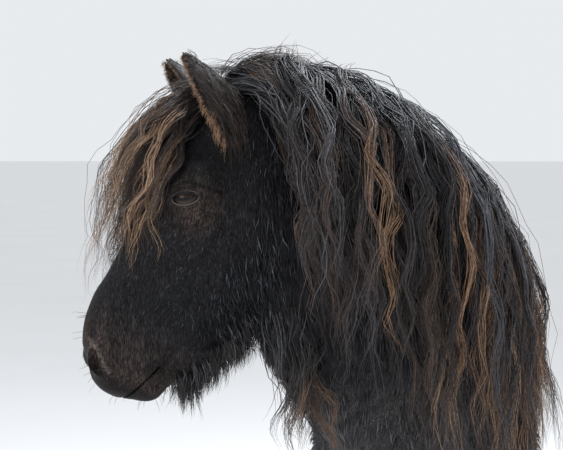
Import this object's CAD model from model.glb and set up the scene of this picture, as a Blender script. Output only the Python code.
# %% [markdown]
# # An Icelandic horse in its winter coat
# The horse is a still, life-size model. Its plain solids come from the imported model, and this
# script gives it skin, eyes, ears, hooves, a short coat and a long mane. The first step loads
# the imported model, because every size is read in its frame, in metres.

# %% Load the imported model
import math

import bmesh
import bpy
import numpy as np
from mathutils import Matrix, Vector
from mathutils.bvhtree import BVHTree


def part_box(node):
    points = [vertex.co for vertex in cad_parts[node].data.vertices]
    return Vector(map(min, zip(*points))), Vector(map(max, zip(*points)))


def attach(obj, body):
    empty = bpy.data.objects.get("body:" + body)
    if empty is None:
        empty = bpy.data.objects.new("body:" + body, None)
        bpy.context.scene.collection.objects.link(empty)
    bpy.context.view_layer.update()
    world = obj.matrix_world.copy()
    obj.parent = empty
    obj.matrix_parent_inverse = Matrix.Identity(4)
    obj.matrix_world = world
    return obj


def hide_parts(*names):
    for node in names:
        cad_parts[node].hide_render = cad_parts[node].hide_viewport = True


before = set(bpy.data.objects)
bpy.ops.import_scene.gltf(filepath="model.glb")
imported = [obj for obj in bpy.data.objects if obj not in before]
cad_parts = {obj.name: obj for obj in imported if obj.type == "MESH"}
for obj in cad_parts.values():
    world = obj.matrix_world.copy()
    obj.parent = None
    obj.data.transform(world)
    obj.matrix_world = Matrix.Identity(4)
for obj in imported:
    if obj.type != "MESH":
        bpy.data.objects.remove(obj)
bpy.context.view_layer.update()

# %% [markdown]
# The horse is easiest to think about in a frame of its own: it faces -Y, its left side is +X
# and its middle plane is x = 0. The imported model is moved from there, so that its box is
# centred. The hooves stand on both sides of the middle plane, and they give that move back.
# A fixed seed gives the same random numbers each run. The skin's triangles can still come out
# in another order, so some of the tufts on the head land elsewhere from run to run.

# %% From the horse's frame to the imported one
FORE_HOOF_Y = -0.544
left_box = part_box("hoof_fore_left")
right_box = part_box("hoof_fore_right")
SHIFT = Vector(
    ((left_box[1].x + right_box[0].x) / 2, (left_box[0].y + left_box[1].y) / 2 - FORE_HOOF_Y, 0)
)
dice = np.random.default_rng(24)
print("move from the horse's frame:", tuple(round(v, 4) for v in SHIFT))


def new_object(name, data):
    """Object for a mesh, a light or a lens, linked into the scene."""
    made = bpy.data.objects.new(name, data)
    bpy.context.scene.collection.objects.link(made)
    return made


# %% [markdown]
# The camera stands three metres in front of the horse at the height of its eyes and looks
# slightly down, as the photograph was taken. The lens is worked out from an image 563 wide.

# %% Camera
CAMERA_PLACE = Vector((-0.1047, -3.0385, 1.50))
CAMERA_DOWN = math.radians(3.1)
CAMERA_TURN = math.radians(4.0)
LENS = 82.74

lens_data = bpy.data.cameras.new("view_lens")
lens_data.lens = LENS
lens_data.sensor_width = 36
camera = new_object("view", lens_data)
camera.location = CAMERA_PLACE + SHIFT
camera.rotation_euler = (math.pi / 2 - CAMERA_DOWN, 0, CAMERA_TURN)
bpy.context.scene.camera = camera
print("camera at", tuple(round(v, 3) for v in camera.location))

# %% [markdown]
# Dark fur shows its form only through what it reflects, so the light is a wide, soft sky: a
# pale world, a large softbox overhead and weaker ones in front and behind. The floor is plain
# and pale and is marked as stage, because it isn't part of the horse.

# %% Light and floor
WORLD_COLOUR = (0.92, 0.945, 0.975)
WORLD_STRENGTH = 0.88
FLOOR_COLOUR = (0.84, 0.84, 0.845)
FLOOR_HALF = 300.0

world = bpy.data.worlds.new("sky")
world.use_nodes = True
sky = world.node_tree.nodes["Background"]
sky.inputs["Color"].default_value = (*WORLD_COLOUR, 1)
sky.inputs["Strength"].default_value = WORLD_STRENGTH
bpy.context.scene.world = world
bpy.context.scene.view_settings.view_transform = "Standard"


def softbox(name, place, aim, size, power, colour):
    """Square area light at a place in the horse's frame, turned to face a point."""
    light = bpy.data.lights.new(name, "AREA")
    light.size = size
    light.energy = power
    light.color = colour
    lamp = new_object(name, light)
    lamp.location = Vector(place) + SHIFT
    way = Vector(aim) - Vector(place)
    lamp.rotation_euler = way.to_track_quat("-Z", "Y").to_euler()


HEAD_AIM = (-0.2, -0.7, 1.2)
softbox("overhead", (0.6, -0.2, 4.2), HEAD_AIM, 2.2, 160, (0.88, 0.94, 1.0))
softbox("front", (-2.6, -3.2, 2.8), HEAD_AIM, 2.2, 50, (1.0, 0.98, 0.95))
softbox("behind", (2.2, 2.4, 3.0), (0, 0, 1.2), 2.2, 80, (0.95, 0.97, 1.0))


floor_bm = bmesh.new()
bmesh.ops.create_grid(floor_bm, x_segments=8, y_segments=8, size=FLOOR_HALF)
floor_mesh = bpy.data.meshes.new("floor")
floor_bm.to_mesh(floor_mesh)
floor_bm.free()
floor = new_object("floor", floor_mesh)


def node_material(name, roughness, specular=0.5):
    """Principled material with its roughness and reflection, its node tree and its shader."""
    made = bpy.data.materials.new(name)
    made.use_nodes = True
    shader = made.node_tree.nodes["Principled BSDF"]
    shader.inputs["Roughness"].default_value = roughness
    shader.inputs["Specular IOR Level"].default_value = specular
    return made, made.node_tree, shader


def noise(tree, scale, detail=3.0, roughness=0.55, source=None):
    """Noise texture on Object coordinates, or on the vector that is given."""
    texture = tree.nodes.new("ShaderNodeTexNoise")
    texture.inputs["Scale"].default_value = scale
    texture.inputs["Detail"].default_value = detail
    texture.inputs["Roughness"].default_value = roughness
    if source is None:
        source = tree.nodes.new("ShaderNodeTexCoord").outputs["Object"]
    tree.links.new(source, texture.inputs["Vector"])
    return texture.outputs["Fac"]


def ramp(tree, value, stops):
    """Colour ramp through (position, colour) stops."""
    made = tree.nodes.new("ShaderNodeValToRGB")
    elements = made.color_ramp.elements
    while len(elements) < len(stops):
        elements.new(0.5)
    for element, (position, colour) in zip(elements, stops):
        element.position = position
        element.color = (*colour, 1)
    tree.links.new(value, made.inputs["Fac"])
    return made.outputs["Color"]


def bump(tree, shader, height, strength, distance):
    """Bump from a height value into the shader's normal."""
    made = tree.nodes.new("ShaderNodeBump")
    made.inputs["Strength"].default_value = strength
    made.inputs["Distance"].default_value = distance
    tree.links.new(height, made.inputs["Height"])
    tree.links.new(made.outputs["Normal"], shader.inputs["Normal"])


floor_finish, tree, shader = node_material("studio_floor", 0.9)
tint = tuple(c * 0.97 for c in FLOOR_COLOUR)
tree.links.new(
    ramp(tree, noise(tree, 0.8), [(0.3, tint), (0.7, FLOOR_COLOUR)]),
    shader.inputs["Base Color"],
)
floor.data.materials.append(floor_finish)
print("floor of", 2 * FLOOR_HALF, "m")

# %% [markdown]
# ## The body under the coat
# The flesh could be sculpted by hand, but rounded outlines set along the spine, the neck, the
# head and the legs keep every proportion in a short table. Each table is bridged into a
# closed shell, and the shells overlap freely, because they are melted together later.

# %% Rings and shells
RING_POINTS = 20


def smooth_rows(rows, steps):
    """Rows of numbers with Catmull-Rom rows put between them."""
    rows = np.array(rows, float)
    made = []
    for i in range(len(rows) - 1):
        a, b = rows[max(i - 1, 0)], rows[i]
        c, d = rows[i + 1], rows[min(i + 2, len(rows) - 1)]
        for k in range(steps):
            t = k / steps
            made.append(
                0.5
                * (
                    2 * b
                    + (c - a) * t
                    + (2 * a - 5 * b + 4 * c - d) * t**2
                    + (3 * b - a - 3 * c + d) * t**3
                )
            )
    made.append(rows[-1])
    return [tuple(float(v) for v in row) for row in made]


def power(value, exponent):
    return math.copysign(abs(value) ** exponent, value)


def ring(centre, side, up, half_side, half_up, half_down, top=1.0, low=1.0, count=RING_POINTS):
    """Points of a rounded outline; a power above 1 narrows that half and below 1 squares it."""
    points = []
    for i in range(count):
        angle = 2 * math.pi * i / count
        sine = math.sin(angle)
        half = half_up if sine > 0 else half_down
        exponent = top if sine > 0 else low
        wide = side * (half_side * power(math.cos(angle), exponent))
        points.append(centre + wide + up * (half * sine))
    return points


def loft(bm, rings):
    """Bridges a row of rings and closes both ends."""
    loops = []
    for points in rings:
        verts = [bm.verts.new(p) for p in points]
        loops.append([bm.edges.new((verts[i - 1], verts[i])) for i in range(len(verts))])
    for first, second in zip(loops, loops[1:]):
        bmesh.ops.bridge_loops(bm, edges=first + second)
    for end in (loops[0], loops[-1]):
        bmesh.ops.contextual_create(bm, geom=end)


def ellipsoid(bm, centre, radii, turn=None, segments=20):
    """Ball stretched to three radii; turn is a rotation matrix of its axes."""
    matrix = Matrix.Translation(centre)
    if turn is not None:
        matrix = matrix @ turn.to_4x4()
    matrix = matrix @ Matrix.Diagonal((*radii, 1))
    bmesh.ops.create_uvsphere(
        bm, u_segments=segments, v_segments=segments // 2, radius=1, matrix=matrix
    )


def to_object(name, bm):
    """New object from a bmesh, with its faces pointing out."""
    bmesh.ops.recalc_face_normals(bm, faces=bm.faces)
    mesh = bpy.data.meshes.new(name)
    bm.to_mesh(mesh)
    bm.free()
    return new_object(name, mesh)


def shape(name, fill):
    """New object whose mesh is filled by fill(bm) and merged at its seams."""
    bm = bmesh.new()
    fill(bm)
    bmesh.ops.remove_doubles(bm, verts=bm.verts, dist=1e-6)
    return to_object(name, bm)


print("rings of", RING_POINTS, "points")

# %% [markdown]
# The trunk is deep and round like a barrel, with strong shoulders and haunches. An Icelandic
# horse stands about 1.37 m at the withers. The neck rises from the withers and bends to the
# horse's right, because the head is turned that way.

# %% Trunk, neck and dock
TRUNK = [
    (-0.70, 1.07, 0.97, 0.86, 0.110),
    (-0.66, 1.16, 0.98, 0.79, 0.165),
    (-0.56, 1.28, 1.00, 0.725, 0.205),
    (-0.40, 1.37, 1.00, 0.680, 0.232),
    (-0.22, 1.345, 0.98, 0.660, 0.246),
    (0.00, 1.305, 0.96, 0.645, 0.268),
    (0.18, 1.305, 0.97, 0.665, 0.268),
    (0.34, 1.335, 1.02, 0.735, 0.255),
    (0.48, 1.330, 1.05, 0.830, 0.240),
    (0.60, 1.275, 1.05, 0.890, 0.195),
    (0.67, 1.200, 1.05, 0.930, 0.130),
    (0.71, 1.120, 1.05, 0.980, 0.060),
]
NECK = [
    ((0.000, -0.22, 1.24), (0.000, -0.50, 0.80), 0.150),
    ((0.000, -0.37, 1.385), (-0.015, -0.62, 0.82), 0.195),
    ((-0.020, -0.52, 1.495), (-0.085, -0.715, 0.90), 0.185),
    ((-0.100, -0.66, 1.595), (-0.190, -0.780, 1.010), 0.158),
    ((-0.215, -0.78, 1.650), (-0.275, -0.825, 1.120), 0.130),
    ((-0.315, -0.83, 1.650), (-0.300, -0.850, 1.215), 0.106),
    ((-0.390, -0.855, 1.600), (-0.345, -0.870, 1.330), 0.088),
]
DOCK = [
    (0.58, 1.20, 0.066, 0.060),
    (0.67, 1.185, 0.062, 0.056),
    (0.73, 1.13, 0.056, 0.052),
    (0.755, 1.04, 0.050, 0.046),
    (0.76, 0.93, 0.034, 0.032),
]
X_AXIS = Vector((1, 0, 0))
Y_AXIS = Vector((0, 1, 0))
Z_AXIS = Vector((0, 0, 1))


def trunk(bm):
    rings = []
    for y, top, level, bottom, half in smooth_rows(TRUNK, 3):
        middle = Vector((0, y, level))
        rings.append(ring(middle, X_AXIS, Z_AXIS, half, top - level, level - bottom, 1.12, 0.95))
    loft(bm, rings)
    haunch = Matrix.Rotation(math.radians(-14), 3, "X")
    shoulder = Matrix.Rotation(math.radians(18), 3, "X")
    for side in (1, -1):
        ellipsoid(bm, (side * 0.135, 0.45, 1.00), (0.115, 0.215, 0.29), haunch)
        ellipsoid(bm, (side * 0.125, -0.475, 1.03), (0.092, 0.165, 0.26), shoulder)
        ellipsoid(bm, (side * 0.090, -0.600, 0.92), (0.095, 0.100, 0.17))


def neighbours(rows, i):
    """Rows before and after row i, or row i itself at an end."""
    return rows[max(i - 1, 0)], rows[min(i + 1, len(rows) - 1)]


def neck_rows():
    """Crest point, underside point and half width along the neck, from withers to poll."""
    rows = smooth_rows([(*crest, *under, half) for crest, under, half in NECK], 3)
    return [(Vector(row[0:3]), Vector(row[3:6]), row[6]) for row in rows]


def neck(bm):
    rows = neck_rows()
    rings = []
    for i, (crest, under, half) in enumerate(rows):
        centre = crest * 0.45 + under * 0.55
        before, after = neighbours(rows, i)
        along = (after[0] + after[1]) - (before[0] + before[1])
        up = (crest - under).normalized()
        side = along.cross(up).normalized()
        high = (crest - centre).length
        low = (under - centre).length
        rings.append(ring(centre, side, up, half, high, low, 1.25, 0.95))
    loft(bm, rings)


def dock(bm):
    rows = smooth_rows(DOCK, 3)
    rings = []
    for i, (y, z, half, deep) in enumerate(rows):
        before, after = neighbours(rows, i)
        along = Vector((0, after[0] - before[0], after[1] - before[1])).normalized()
        rings.append(ring(Vector((0, y, z)), X_AXIS, X_AXIS.cross(along), half, deep, deep))
    loft(bm, rings)


print("trunk stations:", len(TRUNK), "neck stations:", len(NECK))

# %% [markdown]
# The head is a frame of its own: metres down the face from the poll, back from the face line
# towards the throat, and to the horse's left. That makes it easy to place an eye or a nostril
# as it is measured on a real head, whatever way the head is turned.

# %% The head's own axes
POLL = Vector((-0.375, -0.852, 1.62))
HEAD_TURN = math.radians(71)
FACE_TILT = math.radians(30.7)
HEAD_SCALE = 0.95

FORWARD = Vector((-math.sin(HEAD_TURN), -math.cos(HEAD_TURN), 0))
DOWN_FACE = FORWARD * math.sin(FACE_TILT) - Z_AXIS * math.cos(FACE_TILT)
TO_THROAT = -FORWARD * math.cos(FACE_TILT) - Z_AXIS * math.sin(FACE_TILT)
TO_LEFT = Z_AXIS.cross(FORWARD)
HEAD_AXES = Matrix((TO_LEFT, TO_THROAT, DOWN_FACE)).transposed()


def on_head(along, depth, side=0.0):
    place = DOWN_FACE * along + TO_THROAT * depth + TO_LEFT * side
    return POLL + place * HEAD_SCALE


def head_places(points):
    """Rows of (along, depth, side) for an array of points."""
    axes = np.array((DOWN_FACE, TO_THROAT, TO_LEFT))
    return (points - np.array(POLL)) @ axes.T / HEAD_SCALE


print("the face looks along", tuple(round(v, 3) for v in FORWARD))

# %% [markdown]
# The head is a row of rings, with balls pressed into it where bone and muscle swell: cheeks,
# brows, eyes, cheekbones, nostrils, lips and chin. Such a table is quick to adjust.

# %% Head shells
HEAD = [
    (-0.030, 0.060, 0.100, 0.150, 0.045),
    (0.000, 0.012, 0.100, 0.200, 0.078),
    (0.060, -0.004, 0.095, 0.240, 0.094),
    (0.130, -0.006, 0.085, 0.270, 0.104),
    (0.200, -0.004, 0.075, 0.288, 0.110),
    (0.260, 0.000, 0.080, 0.292, 0.100),
    (0.320, 0.003, 0.085, 0.284, 0.083),
    (0.380, 0.004, 0.090, 0.264, 0.070),
    (0.435, 0.008, 0.090, 0.238, 0.061),
    (0.485, 0.024, 0.095, 0.210, 0.058),
    (0.520, 0.048, 0.100, 0.186, 0.055),
    (0.546, 0.074, 0.110, 0.162, 0.045),
    (0.560, 0.098, 0.115, 0.138, 0.022),
]
# Paired swellings: cheek, brow, eye, cheekbone, nostril
PAIRED = [
    ((0.215, 0.175, 0.058), (0.040, 0.090, 0.115)),
    ((0.175, 0.045, 0.083), (0.030, 0.030, 0.048)),
    ((0.215, 0.068, 0.078), (0.030, 0.040, 0.050)),
    ((0.300, 0.105, 0.062), (0.018, 0.022, 0.085)),
    ((0.508, 0.066, 0.038), (0.022, 0.028, 0.040)),
]
# Middle swellings: upper lip, lower lip, chin
MIDDLE = [
    ((0.540, 0.108), (0.046, 0.036, 0.026)),
    ((0.520, 0.172), (0.040, 0.034, 0.034)),
    ((0.470, 0.188), (0.036, 0.028, 0.040)),
]


def head(bm):
    rings = []
    for along, face, level, jaw, half in smooth_rows(HEAD, 3):
        wide = half * HEAD_SCALE
        high = (level - face) * HEAD_SCALE
        low = (jaw - level) * HEAD_SCALE
        rings.append(ring(on_head(along, level), TO_LEFT, -TO_THROAT, wide, high, low, 0.72, 0.85))
    loft(bm, rings)
    for (along, depth, side), radii in PAIRED:
        for sign in (1, -1):
            ellipsoid(bm, on_head(along, depth, side * sign), radii, HEAD_AXES)
    for (along, depth), radii in MIDDLE:
        ellipsoid(bm, on_head(along, depth), radii, HEAD_AXES)


print("head stations:", len(HEAD))

# %% [markdown]
# Each leg is a column of rings that swells at the knee or hock and the fetlock. The four feet
# aren't side by side: every hoof is set a little fore or aft, more so towards the ground.

# %% Legs
FORE_LEG = [
    (0.140, -0.510, 1.00, 0.080, 0.130),
    (0.150, -0.455, 0.83, 0.074, 0.112),
    (0.148, -0.440, 0.73, 0.064, 0.088),
    (0.142, -0.438, 0.61, 0.052, 0.067),
    (0.137, -0.438, 0.51, 0.044, 0.052),
    (0.135, -0.443, 0.43, 0.048, 0.052),
    (0.135, -0.432, 0.36, 0.038, 0.043),
    (0.135, -0.430, 0.28, 0.034, 0.041),
    (0.135, -0.430, 0.225, 0.037, 0.046),
    (0.135, -0.436, 0.180, 0.043, 0.054),
    (0.135, -0.458, 0.130, 0.041, 0.047),
    (0.135, -0.480, 0.085, 0.048, 0.054),
    (0.135, -0.494, 0.045, 0.049, 0.056),
]
HIND_LEG = [
    (0.130, 0.430, 1.05, 0.095, 0.180),
    (0.150, 0.375, 0.88, 0.088, 0.155),
    (0.148, 0.425, 0.76, 0.068, 0.112),
    (0.140, 0.520, 0.64, 0.050, 0.074),
    (0.134, 0.590, 0.56, 0.043, 0.064),
    (0.132, 0.600, 0.50, 0.045, 0.056),
    (0.132, 0.590, 0.42, 0.038, 0.047),
    (0.132, 0.580, 0.32, 0.035, 0.042),
    (0.132, 0.575, 0.235, 0.037, 0.046),
    (0.132, 0.570, 0.190, 0.043, 0.054),
    (0.132, 0.548, 0.135, 0.041, 0.047),
    (0.132, 0.528, 0.088, 0.047, 0.053),
    (0.132, 0.512, 0.045, 0.048, 0.055),
]
# Side, stations and how far the hoof is set forward
LEGS = {
    "fore_left": (1, FORE_LEG, 0.035),
    "fore_right": (-1, FORE_LEG, -0.030),
    "hind_left": (1, HIND_LEG, -0.035),
    "hind_right": (-1, HIND_LEG, 0.055),
}
LEG_ROOT_Z = 0.95
LEG_COAT = 1.13


def stance(point, forward):
    """A leg point moved forward, more so lower down."""
    share = max(0.0, 1 - point.z / LEG_ROOT_Z)
    return point + Vector((0, -forward * share, 0))


def leg(bm, side, stations, forward):
    rings = []
    for x, y, z, half, fore in smooth_rows(stations, 3):
        centre = stance(Vector((side * x, y, z)), forward)
        long = fore * LEG_COAT
        rings.append(ring(centre, X_AXIS, Vector((0, -1, 0)), half * LEG_COAT, long, long))
    loft(bm, rings)
    if stations is HIND_LEG:
        hock = stance(Vector((side * 0.132, 0.640, 0.565)), forward)
        ellipsoid(bm, hock, (0.026, 0.032, 0.055))


def masses(bm):
    """All the overlapping forms of the body."""
    trunk(bm)
    neck(bm)
    head(bm)
    dock(bm)
    for side, stations, forward in LEGS.values():
        leg(bm, side, stations, forward)


print("legs:", ", ".join(LEGS))

# %% [markdown]
# ## One skin
# A voxel remesh melts the overlapping shells into one skin, as clay is pressed together, and
# smoothing softens the joints between them. The fleshy parts get much more smoothing than the
# bony head and legs, so the face keeps its planes.

# %% Melt the masses
SKIN_VOXEL = 0.0098
MELT_SMOOTH = 5
FLESH_SMOOTH = 95


def settle(obj):
    """Applies the modifiers of an object."""
    graph = bpy.context.evaluated_depsgraph_get()
    mesh = bpy.data.meshes.new_from_object(obj.evaluated_get(graph))
    obj.modifiers.clear()
    obj.data = mesh


def vertex_array(obj):
    points = np.empty(len(obj.data.vertices) * 3)
    obj.data.vertices.foreach_get("co", points)
    return points.reshape(-1, 3)


def put_vertices(obj, points):
    obj.data.vertices.foreach_set("co", points.ravel())
    obj.data.update()


def ease(value):
    """0 below 0, 1 above 1 and a soft step between."""
    value = np.clip(value, 0, 1)
    return value * value * (3 - 2 * value)


def headness(points):
    """How much each point belongs to the head, from 0 to 1."""
    away = points - np.array(POLL)
    near = np.linalg.norm(away, axis=1) < 0.65
    return near * np.clip((away @ np.array(FORWARD) + 0.12) / 0.10, 0, 1)


def paint_group(obj, name, weights):
    """Vertex group with a weight for each vertex, in steps of a twentieth."""
    group = obj.vertex_groups.new(name=name)
    steps = np.round(weights * 20).astype(int)
    for step in np.unique(steps):
        rows = np.flatnonzero(steps == step)
        group.add([int(i) for i in rows], step / 20, "REPLACE")


skin = shape("skin", masses)
melt = skin.modifiers.new("melt", "REMESH")
melt.mode = "VOXEL"
melt.voxel_size = SKIN_VOXEL
soften = skin.modifiers.new("soften", "SMOOTH")
soften.factor = 0.5
soften.iterations = MELT_SMOOTH
settle(skin)
places = vertex_array(skin)
above_leg = np.clip((places[:, 2] - 0.62) / 0.15, 0, 1)
paint_group(skin, "fleshy", above_leg * (1 - headness(places)))
flesh = skin.modifiers.new("flesh", "SMOOTH")
flesh.factor = 0.5
flesh.iterations = FLESH_SMOOTH
flesh.vertex_group = "fleshy"
settle(skin)
skin.vertex_groups.clear()
print("skin:", len(skin.data.polygons), "faces")

# %% [markdown]
# The solids show the outside of the coat, so the skin lies deeper by the length of the fur:
# nearly a centimetre on the body and only a few millimetres on the face and the legs. Below
# the coronet the skin narrows to a stump that the hoof hides. The face is then cut finer,
# because only there are wrinkles sculpted.

# %% Let the skin sink under the coat
BODY_FUR = 0.009
FACE_FUR = 0.0035
LEG_FUR = 0.005
CORONET_TOE = 0.092
CORONET_HEEL = 0.056
SOLE_HALF_WIDTH = 0.058
SOLE_HALF_LENGTH = 0.068


def normals_of(obj):
    rows = np.empty(len(obj.data.vertices) * 3)
    obj.data.vertices.foreach_get("normal", rows)
    return rows.reshape(-1, 3)


def hoof_place(name):
    """Middle of the sole on the floor, and of the coronet above it."""
    side, stations, forward = LEGS[name]
    x, y, z = stations[-2][0:3]
    coronet = stance(Vector((side * x, y, z)), forward)
    return Vector((coronet.x, coronet.y - 0.036, 0)), coronet


def coronet_height(name, y):
    """Height of the slanted top of a hoof at y."""
    coronet = hoof_place(name)[1]
    slope = (CORONET_TOE - CORONET_HEEL) / (2 * SOLE_HALF_LENGTH)
    return (CORONET_TOE + CORONET_HEEL) / 2 - slope * (y - coronet.y)


def fur_depth(points):
    """How far the skin lies under the outside of the coat."""
    low = ease((points[:, 2] - 0.55) / 0.2)
    depth = LEG_FUR + (BODY_FUR - LEG_FUR) * low
    face = headness(points) * ease((0.26 - head_places(points)[:, 1]) / 0.10)
    return depth + (FACE_FUR - depth) * face


places = vertex_array(skin)
places -= normals_of(skin) * fur_depth(places)[:, None]
for name in LEGS:
    sole, coronet = hoof_place(name)
    near = np.linalg.norm(places[:, :2] - np.array(coronet)[:2], axis=1) < 0.10
    under = coronet_height(name, places[:, 1]) - places[:, 2]
    narrow = near * ease((under + 0.006) / 0.02) * 0.45
    middle = np.array(coronet)[:2] - np.array((0, 0.010))
    places[:, :2] += (middle - places[:, :2]) * narrow[:, None]
    lift = near * (places[:, 2] < 0.030)
    places[:, 2] += lift * (0.030 - places[:, 2])
put_vertices(skin, places)


def refine(obj, chosen):
    """Cuts each edge between chosen vertices once."""
    bm = bmesh.new()
    bm.from_mesh(obj.data)
    bm.verts.ensure_lookup_table()
    edges = [e for e in bm.edges if chosen[e.verts[0].index] and chosen[e.verts[1].index]]
    bmesh.ops.subdivide_edges(bm, edges=edges, cuts=1, use_grid_fill=True, smooth=0.35)
    bm.to_mesh(obj.data)
    bm.free()


places = vertex_array(skin)
along, back = head_places(places)[:, :2].T
refine(skin, (headness(places) > 0.5) & (back < 0.30) & (along > 0.02))
EYE_SPOT = (0.194, 0.066)
DETAIL = [(*EYE_SPOT, 0.062), (0.508, 0.068, 0.050), (0.505, 0.160, 0.066)]
places = vertex_array(skin)
along, back = head_places(places)[:, :2].T
fine = np.zeros(len(places), bool)
for spot_along, spot_back, reach in DETAIL:
    fine |= np.hypot(along - spot_along, back - spot_back) < reach
refine(skin, fine & (headness(places) > 0.5))
print("skin with a finer face:", len(skin.data.polygons), "faces")

# %% [markdown]
# The face is sculpted with strokes. A stroke is a line on the head and raises or sinks the
# skin near it, as a thumb does in clay. Each is given as places down the face, back from it
# and out to the side, and is used on both sides of the head.

# %% Sculpt the face
# Points (along, back, side) of the stroke, its width and its height in metres
STROKES = [
    # brow bone and the two folds over the eye
    ([(0.150, 0.030, 0.085), (0.158, 0.058, 0.100), (0.176, 0.085, 0.104)], 0.012, 0.0050),
    ([(0.166, 0.040, 0.090), (0.172, 0.062, 0.100), (0.186, 0.088, 0.104)], 0.0040, -0.0022),
    ([(0.160, 0.036, 0.090), (0.164, 0.060, 0.100), (0.176, 0.088, 0.104)], 0.0035, 0.0014),
    # hollow above the eye
    ([(0.115, 0.075, 0.090), (0.130, 0.100, 0.095)], 0.020, -0.0050),
    # bag and tear line under the eye
    ([(0.212, 0.048, 0.090), (0.218, 0.068, 0.098), (0.212, 0.092, 0.102)], 0.0050, -0.0018),
    ([(0.224, 0.044, 0.086), (0.230, 0.068, 0.094), (0.224, 0.096, 0.100)], 0.0080, 0.0018),
    ([(0.196, 0.036, 0.084), (0.225, 0.036, 0.078), (0.262, 0.046, 0.070)], 0.0060, -0.0018),
    # ridge of the cheekbone towards the muzzle, and the hollow in front of it
    ([(0.222, 0.110, 0.102), (0.272, 0.112, 0.094), (0.345, 0.104, 0.074)], 0.010, 0.0050),
    ([(0.300, 0.060, 0.074), (0.370, 0.060, 0.062), (0.440, 0.060, 0.054)], 0.020, -0.0050),
    ([(0.300, 0.150, 0.080), (0.380, 0.142, 0.068), (0.430, 0.130, 0.060)], 0.022, -0.0040),
    # edge of the jaw and the veins of the cheek
    ([(0.120, 0.240, 0.070), (0.200, 0.268, 0.072), (0.270, 0.262, 0.064)], 0.018, 0.0040),
    ([(0.245, 0.140, 0.098), (0.300, 0.190, 0.078), (0.350, 0.200, 0.066)], 0.0040, 0.0016),
    # rim of the nostril, in front and behind, and the fold behind it
    ([(0.476, 0.030, 0.036), (0.500, 0.026, 0.034), (0.524, 0.040, 0.034)], 0.0060, 0.0012),
    ([(0.462, 0.042, 0.046), (0.486, 0.064, 0.052), (0.524, 0.078, 0.050)], 0.0048, 0.0034),
    ([(0.452, 0.054, 0.052), (0.478, 0.078, 0.058), (0.512, 0.094, 0.058)], 0.0060, -0.0026),
    # fullness of the upper lip, and of the jaw under its long hair
    ([(0.530, 0.090, 0.010), (0.540, 0.125, 0.010), (0.535, 0.140, 0.010)], 0.0270, 0.0072),
    ([(0.460, 0.205, 0.0), (0.400, 0.238, 0.0), (0.335, 0.264, 0.0)], 0.0340, 0.0105),
    # front of the nose above the nostrils
    ([(0.425, 0.034, 0.0), (0.462, 0.034, 0.0), (0.502, 0.044, 0.0)], 0.0260, 0.0055),
    # both lips and the corner of the mouth
    ([(0.470, 0.152, 0.062), (0.500, 0.142, 0.060), (0.532, 0.134, 0.048)], 0.0070, 0.0036),
    ([(0.476, 0.180, 0.058), (0.500, 0.176, 0.054), (0.524, 0.176, 0.038)], 0.0070, 0.0034),
    ([(0.452, 0.150, 0.064), (0.460, 0.172, 0.062), (0.462, 0.190, 0.056)], 0.0050, 0.0032),
    ([(0.440, 0.160, 0.064), (0.446, 0.180, 0.062)], 0.0060, -0.0022),
    # crease that sets off the chin
    ([(0.466, 0.206, 0.050), (0.486, 0.200, 0.044), (0.500, 0.196, 0.034)], 0.0045, -0.0026),
    ([(0.480, 0.222, 0.000), (0.480, 0.214, 0.030)], 0.0080, -0.0040),
]


def stroke_field(rows, line, width):
    """1 on a line and 0 far from it, for rows of head places."""
    line = np.array(line)
    nearest = np.full(len(rows), 1e9)
    for start, end in zip(line, line[1:]):
        way = end - start
        share = np.clip((rows - start) @ way / (way @ way), 0, 1)
        gap = np.linalg.norm(rows - start - share[:, None] * way, axis=1)
        nearest = np.minimum(nearest, gap)
    return np.exp(-((nearest / width) ** 2))


def sculpt(obj, strokes):
    points = vertex_array(obj)
    chosen = np.flatnonzero(headness(points) > 0.5)
    rows = head_places(points[chosen])
    height = np.zeros(len(chosen))
    for line, width, rise in strokes:
        for sign in (1, -1):
            mirrored = [(a, b, s * sign) for a, b, s in line]
            height += rise * stroke_field(rows, mirrored, width)
    points[chosen] += normals_of(obj)[chosen] * height[:, None]
    put_vertices(obj, points)


sculpt(skin, STROKES)
print("strokes on the face:", len(STROKES))

# %% [markdown]
# The skin rises over each eyeball as a low dome, with folds that run along both lids. The dome
# is one bell-shaped formula, used for the skin here and for the rims of the lids later, so that
# the two meet. The skin is cut finer once more around the eyes, because the folds are small.

# %% Raise the lids over the eyeballs
SIDES = {1: "left", -1: "right"}
EYE_SINK = 0.005
OPENING = (0.0215, 0.0112, 0.0094)
LID_HEIGHT = 0.0234
LID_SPREAD = (0.0360, 0.0310)
# Distance in times the opening, width and height of the folds over and under the eye
UPPER_FOLDS = [
    (1.50, 0.14, -0.0018), (1.86, 0.20, 0.0012), (2.30, 0.16, -0.0020), (2.8, 0.3, 0.0012),
]
LOWER_FOLDS = [(1.65, 0.16, -0.0012), (2.10, 0.25, 0.0010), (2.65, 0.20, -0.0012)]


def eye_axes(side):
    """Centre of the eyeball, and the ways out of it, forwards and up."""
    low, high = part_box("eye_" + SIDES[side])
    outward = (TO_LEFT * side + FORWARD * 0.45).normalized()
    centre = (low + high) / 2 - SHIFT - outward * EYE_SINK
    ahead = (FORWARD - outward * FORWARD.dot(outward)).normalized()
    ahead = (ahead - Z_AXIS * 0.12).normalized()
    return centre, outward, ahead, ahead.cross(outward) * side


def lid_height(x, y):
    """Height of the lids over the middle of the eyeball, at x ahead of it and y above it."""
    return LID_HEIGHT * np.exp(-((x / LID_SPREAD[0]) ** 2) - (y / LID_SPREAD[1]) ** 2)


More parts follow.
